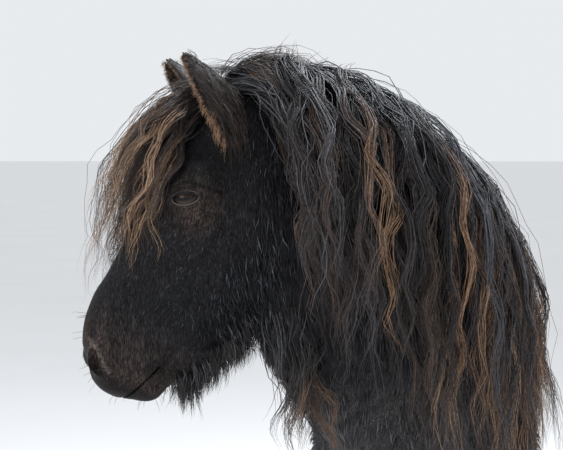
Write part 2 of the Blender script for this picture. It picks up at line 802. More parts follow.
def fold_height(x, y):
    """Folds that run along both lids and fade out beyond the corners."""
    upper = y > 0
    high = np.where(upper, OPENING[1], OPENING[2])
    edge = high * np.sqrt(np.clip(1 - (x / 0.030) ** 2, 0, 1))
    reach = 1 + (np.abs(y) - edge) / high
    total = np.zeros_like(x)
    for folds, chosen in ((UPPER_FOLDS, upper), (LOWER_FOLDS, ~upper)):
        for level, width, rise in folds:
            total += chosen * rise * np.exp(-(((reach - level) / width) ** 2))
    return total * np.exp(-((x / 0.029) ** 4))


def eye_rows(points, side):
    """Places ahead of, above and out of the middle of an eyeball."""
    centre, outward, ahead, up = eye_axes(side)
    return (points - np.array(centre)) @ np.array([ahead, up, outward]).T


for side in SIDES:
    x, y, z = eye_rows(vertex_array(skin), side).T
    refine(skin, (np.hypot(x, y) < 0.036) & (z > -0.03))
    points = vertex_array(skin)
    x, y, z = eye_rows(points, side).T
    near = ease((1.8 - np.hypot(x / 0.030, y / 0.027)) / 0.9) * (z > -0.03)
    gap = lid_height(x, y) + fold_height(x, y) - z
    points += (gap * near)[:, None] * np.array(eye_axes(side)[1])
    put_vertices(skin, points)
print("skin with the lids:", len(skin.data.polygons), "faces")

# %% [markdown]
# The nostrils and the line of the mouth are cut with Booleans, so that they are real hollows
# with dark depths. Each eye needs a socket too: a pocket with the almond shape of the lids'
# opening and a little wider than it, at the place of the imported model's eye.

# %% Cut the nostrils, the mouth and the sockets
LID_POINTS = 44
NOSTRIL_RADII = (0.029, 0.0115, 0.022)
# Half the gap between the lips, at its inner end
MOUTH_HALF = 0.0012


def search_tree(*objects):
    """One search tree over the surfaces of the given objects."""
    points = []
    faces = []
    for obj in objects:
        start = len(points)
        points.extend(vert.co.copy() for vert in obj.data.vertices)
        faces.extend([start + i for i in poly.vertices] for poly in obj.data.polygons)
    return BVHTree.FromPolygons(points, faces)


def carve(obj, cutter):
    """Takes a cutter's volume out of an object."""
    cut = obj.modifiers.new("cut", "BOOLEAN")
    cut.operation = "DIFFERENCE"
    cut.solver = "MANIFOLD"
    cut.object = cutter
    settle(obj)
    bpy.data.objects.remove(cutter)


def nostril(side, tree):
    outward = (TO_LEFT * side * 0.66 + FORWARD * 0.75).normalized()
    hit = tree.ray_cast(on_head(0.505, 0.100, side * 0.005), outward)[0]
    long = -Z_AXIS - FORWARD * 0.25
    long = (long - outward * long.dot(outward)).normalized()
    turn = Matrix((long, outward.cross(long), outward)).transposed()
    middle = hit - outward * 0.002
    return shape("nostril", lambda bm: ellipsoid(bm, middle, NOSTRIL_RADII, turn, 24))


def mouth_band(tree):
    """Thin curved band between the lips, from corner to corner."""
    middle = on_head(0.488, 0.162)
    ahead = (on_head(0.558, 0.142) - middle).normalized()
    normal = TO_LEFT.cross(ahead).normalized()
    sections = []
    for i in range(33):
        angle = math.radians(-100 + 200 * i / 32)
        way = ahead * math.cos(angle) + TO_LEFT * math.sin(angle)
        hit = tree.ray_cast(middle, way)[0]
        half = normal * MOUTH_HALF
        inner = hit - way * 0.010
        outer = hit + way * 0.012
        sections.append([inner - half, outer - half * 3, outer + half * 3, inner + half])
    return shape("mouth", lambda bm: loft(bm, sections))


def lid_ring(side, reach, rise=None, depth=None):
    """Ring round the opening of an eye, reach times as big, over the lids or at a depth."""
    centre, outward, ahead, up = eye_axes(side)
    points = []
    for i in range(LID_POINTS):
        angle = 2 * math.pi * i / LID_POINTS
        sine = math.sin(angle)
        x = OPENING[0] * math.cos(angle) * (1 + (reach - 1) * 0.55)
        y = OPENING[1 if sine > 0 else 2] * power(sine, 1.15) * reach
        over = depth if rise is None else lid_height(x, y) + rise
        points.append(centre + ahead * x + up * y + outward * over)
    return points


def socket(side):
    """Pocket for an eyeball, with the almond shape of the lids' opening."""
    sections = [lid_ring(side, 1.16, depth=depth) for depth in (0.004, 0.036)]
    return shape("socket", lambda bm: loft(bm, sections))


tree = search_tree(skin)
for side in (1, -1):
    carve(skin, nostril(side, tree))
    carve(skin, socket(side))
carve(skin, mouth_band(tree))


def soften_near(obj, spots, reach, times):
    """Rounds the edges that the cuts left near some places of the head."""
    bm = bmesh.new()
    bm.from_mesh(obj.data)
    near = [v for v in bm.verts if min((v.co - spot).length for spot in spots) < reach]
    for _ in range(times):
        bmesh.ops.smooth_vert(
            bm, verts=near, factor=0.35, use_axis_x=True, use_axis_y=True, use_axis_z=True
        )
    bm.to_mesh(obj.data)
    bm.free()


LIP_SPOTS = [on_head(0.500, 0.160, 0.045), on_head(0.500, 0.160, -0.045), on_head(0.54, 0.15)]
NOSE_SPOTS = [on_head(0.505, 0.068, 0.045), on_head(0.505, 0.068, -0.045)]
soften_near(skin, LIP_SPOTS, 0.050, 2)
soften_near(skin, NOSE_SPOTS, 0.034, 2)
print("skin after the cuts:", len(skin.data.polygons), "faces")

# %% [markdown]
# ## Colour of skin and coat
# The horse is black-brown. The coat is a warmer brown around the eye, on the muzzle and on the
# flanks, where winter light bleaches it. Skin and tufts share one function of place, so both
# carry the same markings, which are stored on the vertices as an attribute.

# %% Markings
COAT_DARK = np.array((0.0084, 0.0086, 0.0104))
COAT_WARM = np.array((0.0360, 0.0255, 0.0215))
MUZZLE_BROWN = np.array((0.0560, 0.0410, 0.0350))
RIM_PALE = np.array((0.0900, 0.0740, 0.0670))
# Lines along and back on the side of the head: pale edge of the nostril, crease of the lid
PALE_LINE = [(0.500, 0.036), (0.520, 0.069), (0.531, 0.089)]
LID_CREASE = [(0.181, 0.041), (0.174, 0.060), (0.168, 0.091)]
CHEST_GREY = np.array((0.0420, 0.0390, 0.0400))


def spot(rows, centre, radii):
    """1 in the middle of a soft spot on the head and 0 outside, the same on both sides."""
    folded = np.abs(rows - np.array((centre[0], centre[1], 0)))
    folded[:, 2] = np.abs(np.abs(rows[:, 2]) - centre[2])
    return np.exp(-np.sum((folded / np.array(radii)) ** 2, axis=1))


def marking(points):
    """Base colour of the coat for rows of places in the horse's frame."""
    rows = head_places(points)
    on_face = headness(points)
    eye = spot(rows, (0.208, 0.062, 0.095), (0.044, 0.046, 0.05)) * on_face
    nose = ease((rows[:, 0] - 0.40) / 0.14) * on_face
    beside = on_face * ease((np.abs(rows[:, 2]) - 0.015) / 0.015)
    rim = stroke_field(rows[:, :2], PALE_LINE, 0.0035) * beside
    crease = stroke_field(rows[:, :2], LID_CREASE, 0.0032) * beside
    flank = (1 - on_face) * ease((points[:, 1] + 0.2) / 0.5) * ease((1.05 - points[:, 2]) / 0.4)
    chest = (1 - on_face) * ease((-0.62 - points[:, 1]) / 0.08) * ease((1.16 - points[:, 2]) / 0.1)
    warm = np.clip(0.95 * eye + 0.45 * flank + 0.25 * nose, 0, 1)[:, None]
    colour = COAT_DARK + (COAT_WARM - COAT_DARK) * warm
    brown = (0.40 * nose)[:, None]
    colour = colour + (MUZZLE_BROWN - colour) * brown
    colour = colour + (RIM_PALE - colour) * rim[:, None]
    colour = colour * (1 - 0.75 * crease)[:, None]
    corner = spot(rows, (0.480, 0.166, 0.055), (0.026, 0.018, 0.05)) * on_face
    shadow = spot(rows, (0.120, 0.070, 0.090), (0.050, 0.050, 0.06)) * on_face
    lip = ease((rows[:, 0] - 0.515) / 0.03) * on_face
    colour = colour * (1 - 0.85 * corner - 0.5 * shadow - 0.75 * lip).clip(0.12, 1)[:, None]
    grey = (0.55 * chest)[:, None]
    return colour + (CHEST_GREY - colour) * grey


def paint(obj, name, colours):
    """Colour attribute on the vertices of an object."""
    layer = obj.data.attributes.new(name, "FLOAT_COLOR", "POINT")
    rows = np.ones((len(colours), 4), np.float32)
    rows[:, :3] = colours
    layer.data.foreach_set("color", rows.ravel())


def attribute(tree, name, output="Color"):
    made = tree.nodes.new("ShaderNodeAttribute")
    made.attribute_name = name
    return made.outputs[output]


def blend_colour(tree, share, first, second, mode="MIX"):
    """Mix of two colours, each a socket or three numbers, by a socket or a number."""
    made = tree.nodes.new("ShaderNodeMix")
    made.data_type = "RGBA"
    made.blend_type = mode
    for value, place in ((share, 0), (first, 6), (second, 7)):
        if isinstance(value, bpy.types.NodeSocket):
            tree.links.new(value, made.inputs[place])
        elif place == 0:
            made.inputs[place].default_value = value
        else:
            made.inputs[place].default_value = (*value, 1)
    return made.outputs[2]


def grained(tree, shader, colour, grain):
    """Base colour of a shader: a colour multiplied by a pale and dark grain."""
    mixed = blend_colour(tree, 1.0, colour, grain, "MULTIPLY")
    tree.links.new(mixed, shader.inputs["Base Color"])


def fur_coordinates(tree, stretch):
    """Object coordinates squeezed so that a noise on them runs down the body like hair."""
    place = tree.nodes.new("ShaderNodeTexCoord")
    squeeze = tree.nodes.new("ShaderNodeMapping")
    squeeze.inputs["Scale"].default_value = stretch
    tree.links.new(place.outputs["Object"], squeeze.inputs["Vector"])
    return squeeze.outputs["Vector"]


skin_finish, tree, shader = node_material("fur_undercoat", 0.62, 0.12)
hairs = noise(tree, 640, 2, 0.6, fur_coordinates(tree, (1, 0.8, 0.14)))
clumps = noise(tree, 60, 4, 0.6, fur_coordinates(tree, (1, 0.9, 0.35)))
shade = ramp(tree, clumps, [(0.3, (0.45, 0.45, 0.47)), (0.7, (1.35, 1.30, 1.25))])
streaks = ramp(
    tree, hairs, [(0.38, (0.32, 0.32, 0.32)), (0.50, (0.9, 0.9, 0.9)), (0.64, (2.8, 2.75, 2.75))]
)
marked = blend_colour(tree, 1.0, attribute(tree, "marking"), shade, "MULTIPLY")
grained(tree, shader, marked, streaks)
bump(tree, shader, hairs, 0.5, 0.0015)
paint(skin, "marking", marking(vertex_array(skin)))
skin.data.materials.clear()
skin.data.materials.append(skin_finish)
print("marking painted on", len(skin.data.vertices), "vertices")


def finish_piece(obj, slot, *nodes):
    """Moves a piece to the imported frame, smooths it, and tells the frame what it stands for."""
    obj.data.transform(Matrix.Translation(SHIFT))
    obj.data.shade_smooth()
    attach(obj, "root")
    if nodes:
        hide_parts(*nodes)
    print(f"{obj.name}: {len(obj.data.polygons)} faces")


# %% [markdown]
# ## The eyes
# A horse's eye is a dark brown ball with a pupil that lies across it like a bar, under a clear
# cornea. The ball is turned so that its pole looks out. The cornea bulges at the pole, and the
# colours follow the distance from the pole, read from the ball's own vertices.

# %% Eyeballs
IRIS_SHARE = 0.80
PUPIL_HALF = (0.40, 0.17)
BALL_WIDENING = 1.15
BALL_SHRINK = 0.03
CORNEA_BULGE = 0.045


def eyeball(side):
    centre, outward, ahead, up = eye_axes(side)
    low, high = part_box("eye_" + SIDES[side])
    radius = (high.z - low.z) / 2
    turn = Matrix((ahead, up, outward)).transposed().to_4x4()
    bm = bmesh.new()
    bmesh.ops.create_uvsphere(bm, u_segments=48, v_segments=32, radius=radius)
    rows = np.array([v.co for v in bm.verts]) / radius
    for vert, out in zip(bm.verts, rows[:, 2]):
        bulge = float(ease((out - 0.80) / 0.2)) * CORNEA_BULGE
        vert.co *= 1 + bulge - BALL_SHRINK
        vert.co.x *= BALL_WIDENING
    bmesh.ops.transform(bm, matrix=Matrix.Translation(centre) @ turn, verts=bm.verts)
    made = to_object("eyeball_" + SIDES[side], bm)
    from_pole = np.hypot(rows[:, 0], rows[:, 1])
    front = rows[:, 2] > 0
    iris = front * ease((IRIS_SHARE - from_pole) / 0.06)
    bar = np.hypot(rows[:, 0] / PUPIL_HALF[0], rows[:, 1] / PUPIL_HALF[1])
    pupil = front * ease((1.1 - bar) / 0.2)
    rim = np.array((0.040, 0.028, 0.024))
    brown = np.array((0.024, 0.0105, 0.0065))
    colour = rim + (brown - rim) * iris[:, None]
    colour = colour * (1 - 0.93 * pupil[:, None])
    paint(made, "eye_colour", colour)
    return made


eye_finish, tree, shader = node_material("wet_eye", 0.05, 0.32)
fleck = ramp(tree, noise(tree, 700, 3), [(0.35, (0.7, 0.7, 0.7)), (0.7, (1.3, 1.25, 1.2))])
grained(tree, shader, attribute(tree, "eye_colour"), fleck)
for side, word in SIDES.items():
    ball = eyeball(side)
    ball.data.materials.append(eye_finish)
    finish_piece(ball, "eye", "eye_" + word)

# %% [markdown]
# The edges of the lids are a rolled rim. One section of the rim is swept around the
# almond-shaped opening: it starts inside on the ball, turns over the edge, and sinks under the
# skin.

# %% Eyelids
# Times the opening's size, and height over the dome of the lids
LID_SECTION = [
    (0.86, -0.0085),
    (0.94, -0.0030),
    (0.98, -0.0008),
    (1.02, 0.0004),
    (1.08, 0.0010),
    (1.17, 0.0009),
    (1.26, 0.0002),
    (1.36, -0.0014),
    (1.42, -0.0040),
    (1.00, -0.0125),
]


def eyelids(side):
    rings = [lid_ring(side, reach, rise) for reach, rise in LID_SECTION]
    bm = bmesh.new()
    loops = []
    for verts in zip(*rings):
        verts = [bm.verts.new(point) for point in verts]
        loops.append([bm.edges.new((verts[k - 1], verts[k])) for k in range(len(verts))])
    for first, second in zip(loops, loops[1:] + loops[:1]):
        bmesh.ops.bridge_loops(bm, edges=first + second)
    made = to_object("eyelids_" + SIDES[side], bm)
    angle = 2 * np.pi * np.arange(LID_POINTS) / LID_POINTS
    wet = np.zeros((LID_POINTS, len(LID_SECTION)))
    wet[:, 2:5] = ease((0.30 - np.sin(angle)) / 0.5)[:, None]
    paint(made, "wet", np.repeat(wet.reshape(-1, 1), 3, axis=1))
    return made


lid_finish, tree, shader = node_material("lid_skin", 0.55, 0.4)
lid_tone = ramp(
    tree,
    noise(tree, 90, 4),
    [(0.3, (0.008, 0.006, 0.005)), (0.55, (0.020, 0.012, 0.009)), (0.8, (0.042, 0.024, 0.016))],
)
lid_colour = blend_colour(tree, attribute(tree, "wet", "Fac"), lid_tone, (0.120, 0.116, 0.120))
tree.links.new(lid_colour, shader.inputs["Base Color"])
bump(tree, shader, noise(tree, 600, 3), 0.35, 0.001)
for side in SIDES:
    lids = eyelids(side)
    finish = lids.modifiers.new("round", "SUBSURF")
    finish.levels = 1
    finish.render_levels = 1
    settle(lids)
    lids.data.materials.append(lid_finish)
    finish_piece(lids, "coat", "head")

# %% [markdown]
# ## The ears
# An ear is a leaf rolled into a cup. Rings along it make the outside as a closed form. The same
# rings, smaller and shifted towards the opening, are cut out of it, so the ear has a real
# hollow.

# %% Ears
EAR_BASE = (0.057, 0.028, 0.066)
EAR_TIP = (-0.006, -0.084, 0.080)
EAR_POINTS = 28
# Size of the cup against the ear, its shift to the opening, and where along the ear it lies
CUP_SCALE = 0.86
CUP_SHIFT = 0.0075
CUP_START = 0.22
CUP_END = 0.965
# Share of the ear's length, half width, depth behind the rims
EAR = [
    (-0.15, 0.022, 0.024),
    (0.10, 0.028, 0.036),
    (0.30, 0.033, 0.040),
    (0.52, 0.031, 0.033),
    (0.74, 0.0225, 0.021),
    (0.90, 0.0110, 0.010),
    (1.00, 0.0020, 0.0020),
]


def ear_axes(side):
    """Base and tip of an ear, the way across it and the way its cup opens."""
    base = on_head(EAR_BASE[0], EAR_BASE[1], side * EAR_BASE[2])
    tip = on_head(EAR_TIP[0], EAR_TIP[1], side * EAR_TIP[2])
    up = (tip - base).normalized()
    opening = FORWARD - TO_LEFT * side * 0.12
    opening = (opening - up * opening.dot(up)).normalized()
    return base, tip, up.cross(opening), opening


def ear_ring(side, row, shrink, shift):
    """One outline of the ear: round behind, and open towards the front."""
    base, tip, across, opening = ear_axes(side)
    share, wide, deep = row
    centre = base.lerp(tip, share) + opening * shift
    points = []
    for i in range(EAR_POINTS):
        angle = 2 * math.pi * i / EAR_POINTS
        sine = math.sin(angle)
        out = sine * deep * (0.15 if sine > 0 else 1.0)
        points.append(centre + (across * math.cos(angle) * wide + opening * out) * shrink)
    return points


def ear_shell(side, name):
    rows = smooth_rows(EAR, 3)
    outside = [ear_ring(side, row, 1.0, 0.0) for row in rows]
    inner = [row for row in rows if CUP_START < row[0] < CUP_END]
    cup = [ear_ring(side, row, CUP_SCALE, CUP_SHIFT) for row in inner]
    made = shape(name, lambda bm: loft(bm, outside))
    carve(made, shape("cup", lambda bm: loft(bm, cup)))
    return made


ear_finish, tree, shader = node_material("ear_skin", 0.6)
shader.inputs["Sheen Weight"].default_value = 0.08
shader.inputs["Sheen Roughness"].default_value = 0.4
ear_tone = ramp(
    tree,
    noise(tree, 50, 4, 0.6, fur_coordinates(tree, (1, 1, 0.3))),
    [(0.3, (0.006, 0.0045, 0.004)), (0.75, (0.022, 0.013, 0.010))],
)
tree.links.new(ear_tone, shader.inputs["Base Color"])
bump(tree, shader, noise(tree, 500, 3, 0.6, fur_coordinates(tree, (1, 1, 0.2))), 0.5, 0.0015)
ears = {}
for side, word in SIDES.items():
    ears[side] = ear_shell(side, "ear_shell_" + word)
    ears[side].data.materials.clear()
    ears[side].data.materials.append(ear_finish)

# %% [markdown]
# ## The hooves
# A hoof is a cone of horn with a flat sole. The wall shows growth rings that run around it,
# and its lower edge is slightly rounded and worn. A stack of rings gives the cone, and small
# steps in their width give the growth rings. The sole is dished and has the wedge of the frog.

# %% Hooves
HOOF_RINGS = 26
HOOF_TOP = 0.110


def hoof_outline(sole, coronet, z, ripple):
    share = z / HOOF_TOP
    centre = sole.lerp(Vector((coronet.x, coronet.y + 0.004, 0)), share)
    centre.z = z
    wide = SOLE_HALF_WIDTH * (1.02 - 0.26 * share) + ripple
    long = SOLE_HALF_LENGTH * (1.00 - 0.30 * share) + ripple
    return ring(centre, X_AXIS, Vector((0, -1, 0)), wide, long, long * 0.9, 1.0, 0.8, 56)


def hoof(name):
    sole, coronet = hoof_place(name)
    bm = bmesh.new()
    rings = []
    for scale, z in ((0.30, 0.007), (0.72, 0.006), (0.86, 0.0015), (0.93, 0.0)):
        flat = hoof_outline(sole, coronet, 0.0, 0.0)
        middle = Vector((sole.x, sole.y, 0))
        rings.append([middle + (p - middle) * scale + Z_AXIS * z for p in flat])
    for i in range(HOOF_RINGS):
        share = i / (HOOF_RINGS - 1)
        ripple = 0.0005 * math.sin(share * 50) - 0.0015 * (1 - min(share * 12, 1)) ** 2
        outline = hoof_outline(sole, coronet, HOOF_TOP * share, ripple)
        low = 0.0012 if i == 0 else 0.0
        slanted = []
        for point in outline:
            top = coronet_height(name, point.y) + 0.002
            slanted.append(Vector((point.x, point.y, low + top * share)))
        rings.append(slanted)
    last = rings[-1]
    middle = sum(last, Vector()) / len(last)
    for scale, drop in ((0.94, 0.001), (0.80, 0.004)):
        rings.append([middle + (p - middle) * scale - Z_AXIS * drop for p in last])
    loft(bm, rings)
    return to_object("horn_" + name, bm)


horn_finish, tree, shader = node_material("hoof_horn_finish", 0.5)
horn_bands = noise(tree, 240, 3, 0.5, fur_coordinates(tree, (0.05, 0.05, 1)))
horn_grain = noise(tree, 300, 3, 0.6, fur_coordinates(tree, (1, 1, 0.06)))
horn_tone = ramp(
    tree,
    horn_bands,
    [(0.3, (0.022, 0.019, 0.017)), (0.55, (0.040, 0.034, 0.028)), (0.8, (0.070, 0.058, 0.046))],
)
grain_tone = ramp(tree, horn_grain, [(0.35, (0.7, 0.7, 0.7)), (0.65, (1.2, 1.2, 1.2))])
grained(tree, shader, horn_tone, grain_tone)
bump(tree, shader, horn_bands, 0.4, 0.0015)
for name in LEGS:
    horn = hoof(name)
    horn.data.materials.append(horn_finish)
    finish_piece(horn, "hoof_horn", "hoof_" + name)

# %% [markdown]
# ## How hair is made here
# Particle hair would be lost when the model is exported, so every hair is a thin solid: a tube
# of three sides that tapers to a point. A guide is the path of one lock, bent down by its
# weight and held off the skin. Many strands follow each guide, drawn together towards its tip
# and crimped in waves as the hair of this breed is. All of them are made as whole arrays,
# because there are tens of thousands.

# %% Guides
GRAVITY = Vector((0, 0, -1))
# Length of a lock over which it rises from the skin to its full height
LIFT_REACH = 0.10
# How strongly a lock sways to one side and the other
SWAY = 4.2
MAP_EDGE = 0.004
skin_tree = search_tree(skin)


def fall(root, start, length, height, limp, drift, steps):
    """Path of a lock and the way out of the skin beside it; limp is its bend in a metre."""
    step = length / steps
    heading = start.normalized()
    normal = skin_tree.find_nearest(root)[1]
    path = [root]
    normals = [normal]
    for i in range(steps):
        bend = GRAVITY * limp * step + drift * math.sin(14 * i * step + length * 40) * step
        heading = (heading + bend).normalized()
        point = path[-1] + heading * step
        near, close_normal, _, distance = skin_tree.find_nearest(point)
        if distance < 0.15:
            normal = (normal + close_normal * 0.7).normalized()
        lift = height * (1 - 0.75 * i / steps) * min(1, (i + 1) * step / LIFT_REACH)
        if (point - near).dot(close_normal) < lift:
            point = near + close_normal * lift
        heading = (point - path[-1]).normalized()
        path.append(point)
        normals.append(normal)
    return path, normals


def grow_guides(seeds, steps=18):
    """Arrays of paths, normals, map places and bleach, one row for each seed.

    A seed is (root, start, length, height, limp, place, bleach).
    """
    rows = []
    for root, start, length, height, limp, place, bleach in seeds:
        drift = Vector((dice.uniform(-1, 1), dice.uniform(-1, 1), 0)) * SWAY
        path, outs = fall(root, start, length, height, limp, drift, steps)
        rows.append((path, outs, place, float(bleach)))
    return tuple(np.array(column) for column in zip(*rows))


def unit(rows):
    return rows / np.maximum(np.linalg.norm(rows, axis=-1, keepdims=True), 1e-9)


print("skin tree ready")

# %% [markdown]
# A lock is a bundle of hairs that starts wide and draws together. Growing its strands one by
# one would be slow, so they are offsets across the guide: a slow bend for the whole lock, a
# quick crimp for each strand, and a few strays that leave it.

# %% Strands around a guide
# How far strays stand off, in times the others' distance and in metres
STRAY_WIDTH = 2.6
STRAY_RISE = 0.010


def strands(guides, count, points, spread, gather, wave, crimp, frizz, short=0.25, loose=0.05):
    """Strand points for each guide: count of them, drawn together by gather at the tip.

    spread is the half width of the lock, wave and crimp are (height, length) of the slow bends
    of the lock and of the quick ones of each strand, and frizz is how far a strand strays.
    """
    paths, normals, places, bleached = guides
    number, steps = paths.shape[0:2]
    share = np.linspace(0, 1, points)
    keep = 1 - dice.uniform(0, short, (number, count, 1))
    along = share[None, None, :] * keep * (steps - 1)
    low = np.clip(along.astype(int), 0, steps - 2)
    part = (along - low)[..., None]
    row = np.arange(number)[:, None, None]
    centre = paths[row, low] * (1 - part) + paths[row, low + 1] * part
    out = normals[row, low] * (1 - part) + normals[row, low + 1] * part
    tangent = unit(np.gradient(centre, axis=2))
    side = unit(np.cross(tangent, out))
    out = unit(np.cross(side, tangent))
    length = np.linalg.norm(np.diff(paths, axis=1), axis=2).sum(1)[:, None, None]
    run = share[None, None, :] * keep * length
    angle = dice.uniform(0, 2 * np.pi, (number, count, 1))
    radius = np.sqrt(dice.uniform(0, 1, (number, count, 1)))
    strays = dice.random((number, count, 1)) < loose
    radius = radius * np.where(strays, STRAY_WIDTH, 1.0)
    width = 1 - (1 - gather) * share**0.8
    width = np.where(strays, 1 - 0.3 * share, width)
    across = np.cos(angle) * radius * spread[0] * width
    above = np.sin(angle) * radius * spread[1] * width
    above = above + strays * STRAY_RISE * np.sin(np.pi * share)
    grows = ease(share * 2.5)
    phase = dice.uniform(0, 2 * np.pi, (number, 1, 1))
    lag = dice.normal(0, 0.35, (number, count, 1))
    pace = dice.uniform(0.8, 1.25, (number, 1, 1))
    slow = 2 * np.pi * run / wave[1] * pace + phase
    quick = 2 * np.pi * run / crimp[1] * pace + phase * 3 + lag
    across = across + grows * (wave[0] * np.sin(slow) + crimp[0] * np.sin(quick))
    above = above + grows * (0.4 * wave[0] * np.cos(slow) + 0.6 * crimp[0] * np.cos(quick))
    for rate in (2.3, 5.1, 9.7):
        turn = dice.uniform(0, 2 * np.pi, (number, count, 1))
        across = across + frizz / rate * 3 * np.sin(rate * np.pi * share + turn) * share
        turn = dice.uniform(0, 2 * np.pi, (number, count, 1))
        above = above + frizz / rate * 3 * np.sin(rate * np.pi * share + turn) * share
    placed = centre + side * across[..., None] + out * above[..., None]
    flat = placed.reshape(-1, points, 3)
    outs = out.reshape(-1, points, 3)
    root_place = np.repeat(places, count, axis=0)
    root_place = root_place + dice.normal(0, 0.004, root_place.shape)
    bleach = np.repeat(bleached, count) * dice.uniform(0.55, 1.25, number * count)
    tone = dice.normal(0, 0.95, (number, 1)) + dice.normal(0, 0.75, (number, count))
    tone = (tone + 0.7 * (np.sin(angle) * radius)[..., 0]).ravel()
    return flat, outs, np.clip(root_place, MAP_EDGE, 1 - MAP_EDGE), bleach, tone


def strand_profile(points):
    """Width along a strand: thin at its root, full in the middle and nothing at its tip."""
    share = np.linspace(0, 1, points)
    return (0.65 + 0.35 * ease(share * 5)) * (1 - share**3)


print("strands are made in whole arrays")

# %% [markdown]
# A curve with a bevel would make tubes too, with more faces than a hair needs. Here a strand
# has three sides and a point, and a whole piece is written as one array. Each strand gets its
# own small patch on the OFBake map, at the place of its root.

# %% A mesh of strands
TRIANGLE_LIMIT = 195000
# Width and height of a strand's patch on the OFBake map
PATCH = (0.0010, 0.0030)


def strand_mesh(name, paths, outs, root_place, bleach, tone, thick, flatness=0.6):
    """One mesh of three-sided tapered tubes, closed at the root and pointed at the tip."""
    number, points = paths.shape[0:2]
    tangent = unit(np.gradient(paths, axis=1))
    side = unit(np.cross(tangent, outs))
    above = unit(np.cross(side, tangent))
    profile = strand_profile(points)[None, :, None]
    half = thick[:, None, None] / 2 * profile
    corners = []
    for degrees in (90, 210, 330):
        angle = math.radians(degrees)
        way = side * math.cos(angle) + above * math.sin(angle) * flatness
        corners.append(paths + way * half)
    body = np.stack(corners, axis=2)[:, :-1]
    rings = points - 1
    verts = np.concatenate([body.reshape(number, rings * 3, 3), paths[:, -1:]], axis=1)
    each = rings * 3 + 1
    quads = []
    for i in range(rings - 1):
        for k in range(3):
            n = (k + 1) % 3
            quads.append((i * 3 + k, i * 3 + n, i * 3 + 3 + n, i * 3 + 3 + k))
    last = (rings - 1) * 3
    triangles = [(last + k, last + (k + 1) % 3, each - 1) for k in range(3)]
    triangles.append((2, 1, 0))
    pattern = np.array([v for face in quads + triangles for v in face])
    sizes = np.array([4] * len(quads) + [3] * len(triangles))
    starts = np.concatenate([[0], np.cumsum(sizes)[:-1]])
    base = np.arange(number)[:, None]
    loops = (pattern[None] + base * each).ravel()
    loop_starts = (starts[None] + base * len(pattern)).ravel()
    mesh = bpy.data.meshes.new(name)
    mesh.vertices.add(number * each)
    mesh.vertices.foreach_set("co", verts.reshape(-1).astype(np.float32))
    mesh.loops.add(len(loops))
    mesh.loops.foreach_set("vertex_index", loops.astype(np.int32))
    mesh.polygons.add(len(loop_starts))
    mesh.polygons.foreach_set("loop_start", loop_starts.astype(np.int32))
    mesh.update(calc_edges=True)
    ring_of = np.minimum(pattern // 3, rings)
    corner_of = pattern % 3
    patch_u = (corner_of - 1) * PATCH[0]
    patch_v = (ring_of / rings - 0.5) * PATCH[1]
    spots = root_place[:, None, :] + np.stack([patch_u, patch_v], axis=1)[None]
    layer = mesh.uv_layers.new(name="OFBake")
    layer.data.foreach_set("uv", spots.reshape(-1).astype(np.float32))
    share = np.append(np.repeat(np.arange(rings) / rings, 3), 1.0)
    faded = np.clip(bleach[:, None] * ease((share[None] - 0.20) / 0.6), 0, 1)
    values = mesh.attributes.new("bleach", "FLOAT", "POINT")
    values.data.foreach_set("value", faded.ravel().astype(np.float32))
    values = mesh.attributes.new("tone", "FLOAT", "POINT")
    values.data.foreach_set("value", np.repeat(tone, each).astype(np.float32))
    return new_object(name, mesh)


def triangles_each(points):
    """Triangles of one strand."""
    return (points - 2) * 6 + 4


def long_hair(name, parts, finish, slot, *nodes):
    """Pieces of long hair from groups of strands, each piece under the triangle limit."""
    for group, (guides, count, points, thick, style) in enumerate(parts):
        paths, outs, root_place, bleach, tone = strands(guides, count, points, **style)
        most = TRIANGLE_LIMIT // triangles_each(points)
        width = dice.uniform(thick[0], thick[1], len(paths))
        pieces = -(-len(paths) // most)
        for piece, rows in enumerate(np.array_split(np.arange(len(paths)), pieces)):
            label = f"{name}_{group + 1}_{piece + 1}"
            obj = strand_mesh(
                label, paths[rows], outs[rows], root_place[rows], bleach[rows], tone[rows],
                width[rows],
            )
            obj.data.materials.append(finish)
            finish_piece(obj, slot, *nodes)


print("triangles in a strand of 16 points:", triangles_each(16))

# %% [markdown]
# Black mane hair is never one black. It reflects the sky in grey-blue, and the outer hair is
# bleached to brown and orange towards its ends. The root keeps the dark colour, and two
# attributes of each strand, its bleach and its tone, mix the rest.

# %% Hair finishes
HAIR_BLACK = (0.0038, 0.0036, 0.0042)
HAIR_GREY = (0.0980, 0.0990, 0.1120)
HAIR_BROWN = (0.0800, 0.0430, 0.0270)
HAIR_TAN = (0.3800, 0.2250, 0.1300)


def hair_finish(name, dark, grey, brown, tan):
    made, tree, shader = node_material(name, 0.38, 0.42)
    spread_tone = tree.nodes.new("ShaderNodeMapRange")
    spread_tone.inputs["From Min"].default_value = -2.6
    spread_tone.inputs["From Max"].default_value = 2.6
    tree.links.new(attribute(tree, "tone", "Fac"), spread_tone.inputs["Value"])
    middle = [0.80 * low + 0.20 * high for low, high in zip(dark, grey)]
    base = ramp(tree, spread_tone.outputs["Result"], [(0.2, dark), (0.55, middle), (0.95, grey)])
    faded = ramp(
        tree,
        attribute(tree, "bleach", "Fac"),
        [(0.0, (0, 0, 0)), (0.30, (0.55, 0.55, 0.55)), (1.0, (1, 1, 1))],
    )
    ends = ramp(tree, attribute(tree, "bleach", "Fac"), [(0.25, brown), (0.85, tan)])
    colour = blend_colour(tree, faded, base, ends)
    fleck = ramp(tree, noise(tree, 160, 3), [(0.3, (0.50, 0.50, 0.50)), (0.7, (1.40, 1.40, 1.40))])
    grained(tree, shader, colour, fleck)
    return made


